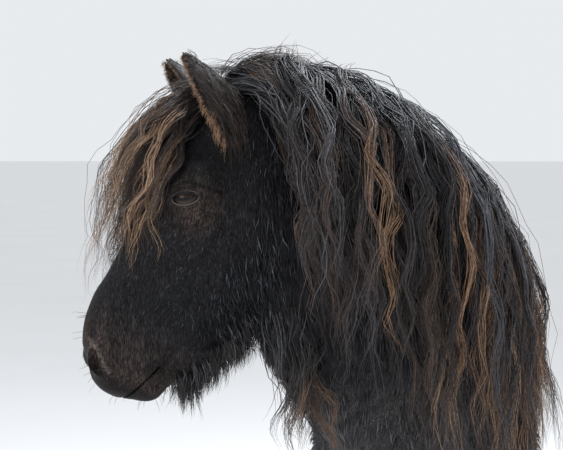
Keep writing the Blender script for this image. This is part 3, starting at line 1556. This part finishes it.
mane_finish = hair_finish("mane_strands", HAIR_BLACK, HAIR_GREY, HAIR_BROWN, HAIR_TAN)
forelock_finish = hair_finish(
    "forelock_strands", (0.0060, 0.0050, 0.0052), (0.078, 0.060, 0.054),
    (0.090, 0.050, 0.032), (0.430, 0.270, 0.165),
)
print("hair finishes ready")

# %% [markdown]
# ## The mane
# The mane is as thick as the neck itself. Its roots stand in a narrow strip along the crest.
# Most of it falls to the left, towards the camera, some falls to the right, and short hair
# stands up on the crest. The outer locks are longer and lie higher, so the mane has layers.

# %% Mane roots
CREST_START = 14.0
CREST_END = 3.3


def spread(count):
    """Shares from 0 to 1 in even steps, each a little off its place."""
    return np.clip((np.arange(count) + dice.uniform(0.1, 0.9, count)) / count, 0, 1)


def crest_root(share, offset):
    """Point on the crest from the poll (0) to the withers (1), and its sideways way."""
    rows = neck_rows()
    place = CREST_START + (CREST_END - CREST_START) * share
    index = int(place)
    crest = rows[index][0].lerp(rows[index + 1][0], place - index)
    along = (rows[index + 1][0] - rows[index][0]).normalized()
    lateral = Z_AXIS.cross(along).normalized()
    above = crest + lateral * offset + Z_AXIS * 0.3
    return skin_tree.ray_cast(above, GRAVITY)[0], lateral


def strip(share, offset):
    """Place on the unwrapped strip of skin that the mane grows from."""
    return 0.5 + offset * 12, 0.02 + 0.96 * share


def bleach_of(chance, amount):
    """How bleached a lock gets: most a little, some a lot."""
    return amount if dice.random() < chance else amount * dice.uniform(0.0, 0.35)


LEFT_ROWS = ((-0.018, 34), (-0.008, 40), (0.002, 44), (0.011, 44))
LIMP_MANE = 8.0
# Share of a turn from each root to the next, which spreads roots evenly round a tube
GOLDEN_TURN = 0.618


def mane_length(share):
    return float(np.interp(share, (0, 0.12, 0.35, 0.7, 1), (0.46, 0.60, 0.76, 0.74, 0.50)))


def left_mane():
    for level, (offset, count) in enumerate(LEFT_ROWS):
        outer = 1 - level / (len(LEFT_ROWS) - 1)
        for share in spread(count):
            root, lateral = crest_root(share, offset + dice.uniform(-0.004, 0.004))
            length = mane_length(share) + dice.uniform(-0.10, 0.07)
            rise = dice.uniform(0.2, 0.6) - 0.28 * share
            start = lateral * dice.uniform(0.7, 1.0) + Z_AXIS * rise
            height = 0.006 + 0.024 * outer - 0.012 * share * outer + dice.uniform(0, 0.006)
            chance = 0.14 + 0.62 * share**2 * (0.4 + 0.6 * outer)
            bleach = bleach_of(chance, dice.uniform(0.5, 1.1))
            yield root, start, length, height, LIMP_MANE, strip(share, offset), bleach


def right_mane():
    for offset, count in ((-0.020, 30), (-0.012, 30)):
        for share in spread(count):
            root, lateral = crest_root(share, offset)
            start = Z_AXIS * dice.uniform(0.3, 0.9) - lateral
            length = 0.40 + dice.uniform(-0.10, 0.08)
            height = dice.uniform(0.004, 0.020)
            bleach = bleach_of(0.25, dice.uniform(0.4, 1.0))
            yield root, start, length, height, LIMP_MANE, strip(share, offset), bleach


def crest_tufts():
    for share in spread(46):
        offset = dice.uniform(-0.014, 0.010)
        root, lateral = crest_root(share, offset)
        start = Z_AXIS * 0.30 + lateral * dice.uniform(-0.2, 1.8)
        length = dice.uniform(0.05, 0.10)
        bleach = bleach_of(0.35, dice.uniform(0.5, 1.1))
        yield root, start, length, 0.010, 22.0, strip(share, offset), bleach


def withers_locks():
    """Short locks that lie back over the withers, where the mane runs out."""
    for share in spread(44):
        lateral_place = dice.uniform(-0.022, 0.014)
        root, lateral = crest_root(0.86 + 0.14 * share, lateral_place)
        aside = lateral * (lateral_place + 0.004) * dice.uniform(30, 70)
        start = Y_AXIS + aside + Z_AXIS * dice.uniform(0.0, 0.25)
        length = dice.uniform(0.10, 0.22)
        bleach = bleach_of(0.25, dice.uniform(0.4, 0.9))
        place = strip(0.86 + 0.14 * share, lateral_place)
        yield root, start, length, 0.007, 5.0, place, bleach


def throat_lock():
    """Brown hair of the throat, which the wind lays along the chest."""
    for share in spread(18):
        ahead = Vector((-0.265 + 0.040 * share, -1.3, 1.20 + dice.uniform(0, 0.05)))
        root = skin_tree.ray_cast(ahead, Y_AXIS)[0]
        start = GRAVITY + X_AXIS * dice.uniform(0.14, 0.34) + Y_AXIS * 0.10
        bleach = bleach_of(0.6, dice.uniform(0.30, 0.60))
        height = dice.uniform(0.004, 0.016)
        length = dice.uniform(0.17, 0.31)
        yield root, start, length, height, 1.2, (0.1 + 0.3 * share, 0.97), bleach


MANE_STYLE = dict(
    spread=(0.019, 0.010), gather=0.28, wave=(0.0105, 0.150), crimp=(0.0036, 0.085),
    frizz=0.0042, short=0.32, loose=0.045,
)
TUFT_STYLE = dict(
    spread=(0.012, 0.008), gather=0.4, wave=(0.005, 0.10), crimp=(0.0014, 0.050),
    frizz=0.0025, short=0.5, loose=0.08,
)
left_guides = grow_guides(left_mane())
right_guides = grow_guides(right_mane())
tuft_guides = grow_guides(crest_tufts(), 12)
long_hair(
    "mane",
    [
        (left_guides, 20, 18, (0.0016, 0.0036), MANE_STYLE),
        (right_guides, 12, 12, (0.0019, 0.0040), MANE_STYLE),
        (tuft_guides, 11, 8, (0.0008, 0.0017), TUFT_STYLE),
        (grow_guides(throat_lock(), 14), 18, 12, (0.0010, 0.0022), MANE_STYLE),
        (grow_guides(withers_locks(), 12), 12, 9, (0.0014, 0.0030), MANE_STYLE),
    ],
    mane_finish, "mane_hair", "neck",
)

# %% [markdown]
# ## Forelock and the hair round the ears
# The forelock starts between the ears, rises over the forehead and hangs in front of the face
# down to the nose. Its ends are the most bleached. Behind the ears the first locks of the mane
# fall over the cheek, and short hair stands up at the poll.

# %% Forelock, poll and cheek locks
def forelock_root(share, back):
    """Point between the ears, from the right ear (0) to the left one (1)."""
    above = on_head(0.030 + back, -0.10, (share - 0.5) * 0.085)
    return skin_tree.ray_cast(above, TO_THROAT)[0]


# Height off the face, number of locks, length and limpness of each layer of the forelock
FORELOCK_ROWS = (
    (0.052, 24, 0.50, 6.9),
    (0.040, 26, 0.46, 9.0),
    (0.024, 28, 0.42, 13.0),
    (0.012, 28, 0.38, 18.0),
)


def forelock():
    for row, (level, count, reach, limp) in enumerate(FORELOCK_ROWS):
        for share in spread(count):
            root = forelock_root(share, -0.036 + 0.016 * row)
            aside = (share - 0.74) * dice.uniform(0.9, 1.3)
            start = FORWARD + Z_AXIS * (0.12 - 0.20 * row) + TO_LEFT * aside
            length = (reach + dice.uniform(-0.12, 0.03)) * (1 - 0.24 * share**2)
            height = level + dice.uniform(-0.008, 0.008)
            bleach = bleach_of(0.42 - 0.07 * row, dice.uniform(0.6, 1.2))
            place = (0.1 + 0.8 * share, 0.2 + 0.15 * row)
            yield root, start, length, height, limp, place, bleach


def poll_locks():
    for share in spread(40):
        root = forelock_root(0.35 + 0.65 * share, -0.058 + dice.uniform(-0.006, 0.004))
        away = FORWARD * (0.85 - 0.4 * share)
        start = TO_LEFT * dice.uniform(0.8, 1.2) + Z_AXIS * dice.uniform(0.0, 0.35) - away
        length = dice.uniform(0.40, 0.56)
        height = 0.008 + 0.016 * dice.random()
        bleach = bleach_of(0.15, dice.uniform(0.3, 0.6))
        yield root, start, length, height, LIMP_MANE, (0.1 + 0.8 * share, 0.1), bleach


def poll_cover():
    """Brown hair that fills the dip between the ear and the mane."""
    for share in spread(96):
        back = -0.030 - 0.060 * dice.random()
        root = forelock_root(0.15 + 0.90 * share, back)
        if root is None:
            continue
        start = TO_LEFT * dice.uniform(0.3, 1.2) + Z_AXIS * dice.uniform(0.3, 0.8) - FORWARD
        length = dice.uniform(0.16, 0.30)
        height = dice.uniform(0.020, 0.048)
        bleach = dice.uniform(0.10, 0.42)
        yield root, start, length, height, 13.0, (0.1 + 0.8 * share, 0.3), bleach


def blown_wisps():
    """A few thin wisps of the mane that the wind carries forwards over the ears."""
    for share in spread(9):
        root = forelock_root(0.30 + 0.5 * share, -0.085)
        start = FORWARD * 1.2 + Z_AXIS * dice.uniform(0.25, 0.45) + TO_LEFT * 0.2
        length = dice.uniform(0.11, 0.17)
        yield root, start, length, 0.040, 4.5, (0.1 + 0.8 * share, 0.5), 0.15


def poll_tufts():
    for share in spread(16):
        root = forelock_root(share, -0.060)
        back = FORWARD * dice.uniform(0.2, 0.8)
        start = Z_AXIS * 0.5 + TO_LEFT * dice.uniform(-0.4, 1.0) - back
        length = dice.uniform(0.06, 0.12)
        bleach = bleach_of(0.3, dice.uniform(0.5, 1.0))
        yield root, start, length, 0.010, 12.0, (0.1 + 0.8 * share, 0.9), bleach


FORELOCK_STYLE = dict(
    spread=(0.013, 0.008), gather=0.22, wave=(0.0080, 0.115), crimp=(0.0034, 0.066),
    frizz=0.0048, short=0.42, loose=0.07,
)
COVER_STYLE = dict(
    spread=(0.012, 0.007), gather=0.35, wave=(0.003, 0.09), crimp=(0.0014, 0.030),
    frizz=0.003, short=0.4, loose=0.10,
)
long_hair(
    "forelock",
    [(grow_guides(forelock()), 18, 18, (0.0011, 0.0025), FORELOCK_STYLE)],
    forelock_finish, "mane_hair", "head",
)
long_hair(
    "poll_hair",
    [
        (grow_guides(poll_locks()), 17, 17, (0.0013, 0.0030), MANE_STYLE),
        (grow_guides(poll_tufts(), 10), 12, 8, (0.0010, 0.0020), TUFT_STYLE),
        (grow_guides(poll_cover(), 14), 12, 10, (0.0011, 0.0024), COVER_STYLE),
        (grow_guides(blown_wisps(), 14), 9, 12, (0.0008, 0.0014), TUFT_STYLE),
    ],
    mane_finish, "mane_hair", "head",
)

# %% [markdown]
# ## Beard, tail and feather
# In winter long hair grows along the jaw and under the chin. The tail is as thick as the mane
# and reaches almost to the ground. The feather hangs behind each fetlock, over the hoof.

# %% Beard
def beard_root(share, side):
    """Point on the jaw from the throat (0) to the chin (1)."""
    return skin_tree.ray_cast(on_head(0.350 + 0.137 * share, 0.15, side), TO_THROAT)[0]


def beard():
    for share in spread(230):
        side = dice.uniform(-0.040, 0.040)
        root = beard_root(share, side)
        if root is None:
            continue
        start = GRAVITY + TO_LEFT * side * 14 + FORWARD * dice.uniform(-0.3, 0.1)
        chin = math.exp(-(((share - 0.90) / 0.11) ** 2))
        length = dice.uniform(0.030, 0.064) + 0.036 * chin * dice.random()
        yield root, start, length, 0.002, 8.0, (0.5 + side * 10, share), 0.12


def throat():
    for share in spread(150):
        side = dice.uniform(-0.050, 0.050)
        root = skin_tree.ray_cast(on_head(0.120 + 0.23 * share, 0.15, side), TO_THROAT)[0]
        start = GRAVITY + TO_LEFT * side * 8 - FORWARD * dice.uniform(0.1, 0.5)
        length = dice.uniform(0.024, 0.056)
        yield root, start, length, 0.002, 6.0, (0.5 + side * 8, share), 0.1


BEARD_STYLE = dict(
    spread=(0.0060, 0.0060), gather=0.50, wave=(0.0012, 0.06), crimp=(0.0005, 0.02),
    frizz=0.0014, short=0.5, loose=0.2,
)
long_hair(
    "beard",
    [
        (grow_guides(beard(), 7), 9, 5, (0.0009, 0.0018), BEARD_STYLE),
        (grow_guides(throat(), 7), 7, 5, (0.0007, 0.0014), BEARD_STYLE),
    ],
    mane_finish, "mane_hair", "head",
)

# %% Tail
def dock_root(share, angle):
    """Point round the dock, from its top (0) to its end (1); angle 0 is behind."""
    rows = smooth_rows(DOCK, 3)
    place = 3 + share * (len(rows) - 5)
    index = int(place)
    first, second = rows[index], rows[index + 1]
    y, z = (first[k] + (second[k] - first[k]) * (place - index) for k in (0, 1))
    way = Vector((math.sin(angle), math.cos(angle), 0.15)).normalized()
    return skin_tree.ray_cast(Vector((0, y, z)), way)[0], way


def tail():
    for i, share in enumerate(spread(108)):
        angle = (i * GOLDEN_TURN % 1 - 0.5) * math.radians(220)
        root, way = dock_root(share, angle)
        length = root.z - dice.uniform(0.17, 0.42)
        start = way * (0.9 - 0.4 * share) + GRAVITY * 0.4
        height = 0.004 + 0.03 * (1 - share)
        bleach = bleach_of(0.30, dice.uniform(0.4, 0.9))
        place = (0.5 + angle / 5, 0.05 + 0.9 * share)
        yield root, start, length, height, 7.0, place, bleach


TAIL_STYLE = dict(
    spread=(0.020, 0.016), gather=0.35, wave=(0.010, 0.19), crimp=(0.0035, 0.07),
    frizz=0.006, short=0.35, loose=0.06,
)
long_hair(
    "tail_hair",
    [(grow_guides(tail(), 22), 12, 15, (0.0024, 0.0050), TAIL_STYLE)],
    mane_finish, "tail_hair", "tail",
)

# %% Feather
def feather(name):
    side, stations, forward = LEGS[name]
    low_rows = smooth_rows(stations[-5:-1], 6)
    for i, share in enumerate(spread(60)):
        angle = (i * GOLDEN_TURN % 1 - 0.5) * math.radians(250)
        low = low_rows[int(share * (len(low_rows) - 1))]
        centre = stance(Vector((side * low[0], low[1], low[2])), forward)
        way = Vector((math.sin(angle), math.cos(angle), 0))
        root = skin_tree.ray_cast(centre, way)[0]
        if root is None:
            continue
        rear = 0.5 + 0.5 * math.cos(angle)
        length = 0.020 + 0.045 * rear + dice.uniform(0, 0.012)
        length = min(length, max(root.z - 0.012, 0.012))
        start = way * 0.6 + GRAVITY
        yield root, start, length, 0.003, 8.0, (0.5 + angle / 6, share), 0.3


FEATHER_STYLE = dict(
    spread=(0.008, 0.006), gather=0.4, wave=(0.003, 0.06), crimp=(0.001, 0.025),
    frizz=0.002, short=0.4, loose=0.08,
)
for name in LEGS:
    long_hair(
        "feather_" + name,
        [(grow_guides(feather(name), 7), 9, 5, (0.0010, 0.0020), FEATHER_STYLE)],
        forelock_finish, "coat", "leg_" + name,
    )

# %% [markdown]
# ## The short coat
# The winter coat is dense and lies along the body. Most of it is the bump of the skin, and
# tufts break the outline on every side. Places are drawn evenly over the skin's area, and each
# tuft follows the lie of the coat: down the face, back and down over the body, and down the
# legs. Tufts are smallest on the face and the feet.

# %% Lie and length of the coat
def eye_gap(points):
    """Distance from the nearer eye, along and across its opening, in half openings."""
    gaps = []
    for side in SIDES:
        x, y, z = eye_rows(points, side).T
        high = np.where(y > 0, OPENING[1], OPENING[2])
        gaps.append(np.sqrt((x / OPENING[0]) ** 2 + (y / high) ** 2 + (z < -0.05) * 9.0))
    return np.minimum(*gaps)


def coat_lie(points):
    """Direction in which the coat lies, before it is laid on the skin."""
    face = headness(points)[:, None]
    rows = head_places(points)
    cheek = ease((rows[:, 1] - 0.08) / 0.14)[:, None]
    on_face = np.array(DOWN_FACE) * (1 - 0.35 * cheek) + np.array(TO_THROAT) * 0.75 * cheek
    legs = ease((0.72 - points[:, 2]) / 0.2)[:, None]
    back = np.array((0.0, 0.85, -0.55))
    front = ease((-0.50 - points[:, 1]) / 0.2)[:, None]
    body = back * (1 - front) + np.array((0.0, 0.15, -1.0)) * front
    body = body * (1 - legs) + np.array((0.0, 0.12, -1.0)) * legs
    return on_face * face + body * (1 - face)


def coat_length(points):
    """Length of the coat's hair, from the muzzle's few millimetres to the shaggy belly."""
    rows = head_places(points)
    face = headness(points)
    jaw = ease((rows[:, 1] - 0.13) / 0.12) * ease((0.44 - rows[:, 0]) / 0.10)
    muzzle = ease((rows[:, 0] - 0.38) / 0.10)
    on_face = 0.012 + 0.028 * jaw - 0.0078 * muzzle
    near_eye = np.exp(-((eye_gap(points) / 2.6) ** 2))
    on_face = on_face * (1 - 0.60 * near_eye)
    height = points[:, 2]
    body = 0.034 + 0.018 * ease((0.95 - height) / 0.2) * ease((height - 0.60) / 0.1)
    body = body - 0.018 * ease((0.60 - height) / 0.2)
    return on_face * face + body * (1 - face)


def skin_samples(count, weight):
    """Places on the skin and its normals there, more of them where weight is greater."""
    mesh = skin.data
    mesh.calc_loop_triangles()
    corners = np.empty(len(mesh.loop_triangles) * 3, np.int32)
    mesh.loop_triangles.foreach_get("vertices", corners)
    corners = corners.reshape(-1, 3)
    points = vertex_array(skin)
    outs = normals_of(skin)
    a, b, c = (points[corners[:, k]] for k in range(3))
    area = np.linalg.norm(np.cross(b - a, c - a), axis=1) / 2
    chance = area * weight((a + b + c) / 3)
    chosen = dice.choice(len(chance), count, p=chance / chance.sum())
    first = np.sqrt(dice.random((count, 1)))
    second = dice.random((count, 1))
    shares = (1 - first, first * (1 - second), first * second)
    places = sum(points[corners[chosen, k]] * shares[k] for k in range(3))
    normals = sum(outs[corners[chosen, k]] * shares[k] for k in range(3))
    return places, unit(normals)


print("coat is", round(float(coat_length(np.array([[0.27, 0.1, 0.9]]))[0]) * 1000), "mm long")

# %% [markdown]
# Each tuft needs its own patch on the OFBake map, at its root's place on an unwrapping of the
# skin. Each part of the body is close to a tube, so it is unrolled round its own axis: the
# angle round the tube gives one coordinate and the way along it the other.

# %% Unroll the skin
REGIONS = {
    "head": (POLL, DOWN_FACE, TO_LEFT, 0.70),
    "body": (Vector((0, -0.95, 1.0)), Vector((0, 1, 0)), X_AXIS, 1.90),
}
for name, (side, stations, forward) in LEGS.items():
    low = stance(Vector((side * stations[-2][0], stations[-2][1], 0)), forward)
    high = stance(Vector((side * stations[1][0], stations[1][1], 0.9)), forward)
    REGIONS["leg_" + name] = (low, (high - low).normalized(), X_AXIS, 0.95)


def unroll(points, region):
    """Map places of points round the axis of a region, from 0 to 1."""
    origin, axis, zero, length = (
        value if isinstance(value, float) else np.array(value) for value in REGIONS[region]
    )
    away = points - origin
    along = away @ axis / length
    if region == "head":
        away = away - np.array(TO_THROAT) * 0.12
        along = along + 0.10
    third = np.cross(axis, zero)
    third = third / np.linalg.norm(third)
    angle = np.arctan2(away @ third, away @ zero)
    spots = np.stack([angle / (2 * np.pi) + 0.5, along], axis=1)
    return np.clip(spots, MAP_EDGE, 1 - MAP_EDGE)


def region_of(points):
    """Name of the region of each point."""
    names = np.full(len(points), "body", dtype=object)
    names[headness(points) > 0.5] = "head"
    legs = points[:, 2] < 0.66
    belly = (np.abs(points[:, 1]) < 0.22) & (points[:, 2] > 0.60)
    fore = points[:, 1] < 0.05
    for name, row in LEGS.items():
        same_end = fore if name.startswith("fore") else ~fore
        own = legs & ~belly & same_end & (np.sign(points[:, 0]) == row[0])
        names[own & (names != "head")] = "leg_" + name
    return names


print("regions:", ", ".join(REGIONS))

# %% [markdown]
# A tuft leaves the skin at a slant and bends over to lie along it. Three points are enough for
# that, because so many are needed. None grows on the eyes, in the nostrils or in the mouth.

# %% Tufts
TUFT_POINTS = 3
LOWEST_TUFT = 0.075


def tuft_paths(places, normals, lift, length):
    """Paths of tufts that leave the skin at a slant and bend over to lie along it."""
    lie = coat_lie(places)
    lie = lie + dice.normal(0, 0.13, lie.shape)
    lie = unit(lie - normals * np.sum(lie * normals, axis=1, keepdims=True))
    reach = np.linspace(0, 1, TUFT_POINTS)[None, :, None]
    size = length[:, None, None]
    rise = lift[:, None, None]
    curl = dice.normal(0, 0.10, (len(places), 1, 1)) * np.cross(normals, lie)[:, None, :]
    along = lie[:, None, :] * reach * size * np.sqrt(np.clip(1 - rise**2, 0.1, 1))
    above = normals[:, None, :] * (reach - 0.55 * reach**2) * rise * size * 1.6
    root = places[:, None, :] - normals[:, None, :] * 0.0015
    outs = np.repeat(normals[:, None, :], TUFT_POINTS, axis=1)
    return root + along + above + curl * reach**2 * size, outs


def clear_of_parts(places):
    """Which tufts stay: none on the eyes, in the nostrils and mouth, or near the floor."""
    keep = eye_gap(places) > 1.32
    rows = head_places(places)
    nose = np.hypot(rows[:, 0] - 0.505, rows[:, 1] - 0.068) > 0.020
    mouth = stroke_field(
        np.abs(rows), [(0.455, 0.170, 0.06), (0.500, 0.158, 0.05), (0.545, 0.142, 0)], 0.008
    )
    keep &= (nose & (mouth < 0.5)) | (headness(places) < 0.5)
    return keep & (places[:, 2] > LOWEST_TUFT)


def coat_piece(name, count, weight, width, lift, contrast, nodes):
    """Tufts on one part of the skin, split by region, with the skin's markings."""
    places, normals = skin_samples(count, weight)
    keep = clear_of_parts(places)
    places, normals = places[keep], normals[keep]
    regions = region_of(places)
    length = coat_length(places) * dice.uniform(0.7, 1.3, len(places))
    low = np.maximum(places[:, 2] - 0.012, 0.005)
    length = np.minimum(length, np.where(places[:, 2] < 0.2, low, 1.0))
    rise = dice.uniform(lift[0], lift[1], len(places))
    paths, outs = tuft_paths(places, normals, rise, length)
    nose = ease((head_places(places)[:, 0] - 0.38) / 0.10)
    near_eye = np.exp(-((eye_gap(places) / 3.2) ** 2))
    calm = 1 - (0.65 * nose + 0.65 * near_eye).clip(0, 0.8) * headness(places)
    shade = contrast * calm * dice.normal(0.2, 1.0, len(places)).clip(-2, 2.2)
    colours = marking(places) * np.exp(shade)[:, None]
    thick = length * dice.uniform(width[0], width[1], len(places))
    for region, own_nodes in nodes.items():
        rows = np.flatnonzero(regions == region)
        if not len(rows):
            continue
        most = TRIANGLE_LIMIT // triangles_each(TUFT_POINTS)
        pieces = -(-len(rows) // most)
        for number, part in enumerate(np.array_split(rows, pieces)):
            zeros = np.zeros(len(part))
            spots = unroll(places[part], region)
            obj = strand_mesh(
                f"{name}_{region}_{number + 1}", paths[part], outs[part], spots, zeros, zeros,
                thick[part], 0.35,
            )
            each = (TUFT_POINTS - 1) * 3 + 1
            paint(obj, "marking", np.repeat(colours[part], each, axis=0))
            obj.data.materials.append(fur_finish)
            finish_piece(obj, "coat", *own_nodes)


fur_finish, tree, shader = node_material("fur_tufts", 0.40, 0.30)
fleck = ramp(tree, noise(tree, 220, 3), [(0.3, (0.7, 0.7, 0.7)), (0.7, (1.3, 1.3, 1.3))])
grained(tree, shader, attribute(tree, "marking"), fleck)
COAT_NODES = {
    "head": ("head",),
    "body": ("torso", "neck"),
    **{"leg_" + name: ("leg_" + name,) for name in LEGS},
}
coat_piece(
    "coat_body", 25500, lambda p: (1 - headness(p)) * (1 + 0.8 * (p[:, 1] < -0.45)),
    (0.05, 0.10), (0.14, 0.34), 0.65, COAT_NODES,
)
coat_piece("coat_face", 14500, lambda p: headness(p), (0.055, 0.10), (0.15, 0.38), 1.2, COAT_NODES)

# %% [markdown]
# The rims and the backs of the ears carry longer hair, and the cup is filled with it. The front
# edge of the near ear has tan wisps that hang below its base. Guides start on the ear's own
# surface and are short enough to need no physics.

# %% Ear hair
WISPS = 10
EAR_STEPS = 6


def ear_hair_seeds(side):
    """Root, way, length, map place, bleach and weight of each lock on one ear."""
    base, tip, across, opening = ear_axes(side)
    outer = across * side
    up = (tip - base).normalized()
    rows = smooth_rows(EAR, 6)
    for share in spread(110):
        row = rows[int(4 + share * (len(rows) - 7))]
        root = base.lerp(tip, row[0]) + outer * row[1] * 0.93 + opening * row[2] * 0.12
        way = opening * 1.0 - up * dice.uniform(0.0, 0.5) + outer * 0.15
        length = dice.uniform(0.012, 0.024) * (1 - 0.50 * share)
        yield root, way, length, (0.30, share), 1.4, 6
    for share in spread(60):
        row = rows[int(4 + share * (len(rows) - 8))]
        root = base.lerp(tip, row[0]) - outer * row[1] * 0.93 + opening * row[2] * 0.12
        way = opening * 0.6 + up * 0.5 + outer * 0.5
        length = dice.uniform(0.009, 0.016) * (1 - 0.5 * share)
        yield root, way, length, (0.40, share), 0.8, 3
    for share in spread(70):
        row = rows[int(6 + share * (len(rows) - 14))]
        root = base.lerp(tip, row[0]) + across * row[1] * dice.uniform(-0.7, 0.7)
        way = up * 0.5 + opening * 0.5 + across * dice.uniform(-0.4, 0.4)
        length = dice.uniform(0.014, 0.026) * (1 - 0.5 * share)
        yield root, way, length, (0.60, share), 0.5, 3
    for share in spread(420):
        row = rows[int(share * (len(rows) - 2))]
        angle = dice.uniform(-1.2, 1.2) * math.pi / 2
        out = -opening * math.cos(angle) + across * math.sin(angle)
        reach = -opening * math.cos(angle) * row[2] + across * math.sin(angle) * row[1]
        root = base.lerp(tip, row[0]) + reach * 0.97
        way = -opening * (0.9 - 0.5 * share) - up * (0.45 + 0.3 * share)
        way += out * dice.uniform(0.15, 0.42)
        shaggy = 1 + 2.0 * max(0, 0.5 - share)
        length = dice.uniform(0.034, 0.070) * (1 - 0.72 * share) * shaggy
        yield root, way, length, (0.80 + angle / 20, share), 0.22, 10
    for wisp in range(WISPS):
        origin = base.lerp(tip, 0.26 - 0.36 * wisp / (WISPS - 1)) + outer * 0.024
        length = dice.uniform(0.036, 0.072)
        lean = opening * dice.uniform(-0.10, 0.45) + outer * 0.25
        for share in spread(4):
            root = origin + up * dice.uniform(-0.004, 0.004)
            root = root + opening * dice.uniform(-0.002, 0.003)
            way = GRAVITY + lean - up * 0.2
            yield root, way, length * (0.7 + 0.3 * share), (0.15, share), 1.5, 8


def ear_guides(side):
    rows = []
    outs = [TO_LEFT * side] * (EAR_STEPS + 1)
    for root, way, length, place, bleach, weight in ear_hair_seeds(side):
        heading = way.normalized()
        path = [root]
        for _ in range(EAR_STEPS):
            heading = (heading + GRAVITY * weight * length).normalized()
            path.append(path[-1] + heading * length / EAR_STEPS)
        rows.append((path, outs, place, float(bleach)))
    return tuple(np.array(column) for column in zip(*rows))


EAR_STYLE = dict(
    spread=(0.0034, 0.0026), gather=0.22, wave=(0.0012, 0.03), crimp=(0.0006, 0.013),
    frizz=0.0016, short=0.5, loose=0.12,
)
for side, word in SIDES.items():
    long_hair(
        "ear_hair_" + word, [(ear_guides(side), 4, 5, (0.0006, 0.0012), EAR_STYLE)],
        forelock_finish, "ear_fur", "ear_" + word,
    )
    finish_piece(ears[side], "ear_fur", "ear_" + word)

# %% [markdown]
# Stiff lashes stand along the upper lid, and a few long feelers grow round the muzzle. They
# are short strands on straight guides.

# %% Lashes and feelers
def lash_guides(side):
    centre, outward, ahead, up = eye_axes(side)
    paths = []
    for i in range(34):
        angle = math.radians(20 + 140 * i / 33)
        x = OPENING[0] * math.cos(angle)
        y = OPENING[1] * math.sin(angle) * 1.06
        root = centre + ahead * x + up * y + outward * lid_height(x, y)
        way = outward * 0.9 + ahead * 0.5 * math.cos(angle) - Z_AXIS * 0.45
        length = 0.013 + 0.004 * math.sin(angle)
        path = []
        for k in range(5):
            share = k / 4
            path.append(root + way * length * share + Z_AXIS * 0.003 * share**2)
        paths.append(path)
    count = len(paths)
    outs = np.repeat(np.array(up)[None, None], count, axis=0).repeat(5, axis=1)
    places = np.stack([np.full(count, 0.5), np.linspace(0.1, 0.9, count)], axis=1)
    return np.array(paths), outs, places, np.zeros(count)


LASH_STYLE = dict(
    spread=(0.0010, 0.0008), gather=1.0, wave=(0.0, 0.1), crimp=(0.0, 0.1), frizz=0.0008,
    short=0.2, loose=0.0,
)


def feeler_guides():
    paths = []
    spots = skin_samples(90, lambda p: headness(p) * (head_places(p)[:, 0] > 0.46))
    for root, out in zip(*(rows[clear_of_parts(spots[0])] for rows in spots)):
        way = unit(out + np.array(DOWN_FACE) * 0.4 + dice.normal(0, 0.15, 3))
        length = dice.uniform(0.012, 0.034)
        paths.append([root + way * length * k / 4 for k in range(5)])
    count = len(paths)
    outs = np.tile(np.array(TO_LEFT), (count, 5, 1))
    places = dice.uniform(0.1, 0.9, (count, 2))
    return np.array(paths), outs, places, np.full(count, 0.2)


for side, word in SIDES.items():
    long_hair(
        "lashes_" + word, [(lash_guides(side), 3, 5, (0.0005, 0.0008), LASH_STYLE)],
        mane_finish, "coat", "head",
    )
long_hair(
    "feelers", [(feeler_guides(), 1, 5, (0.0004, 0.0007), LASH_STYLE)],
    forelock_finish, "coat", "head",
)

# %% [markdown]
# ## Finish
# The skin stands for all the nodes of flesh. It is handed over last, because the hair was
# rooted on it in the horse's own frame. Then both boxes are written down, so that the size of
# the dressed horse can be compared with the solids.

# %% Hand the skin over
finish_piece(skin, "coat", "head", "neck", "torso", "tail", *("leg_" + name for name in LEGS))
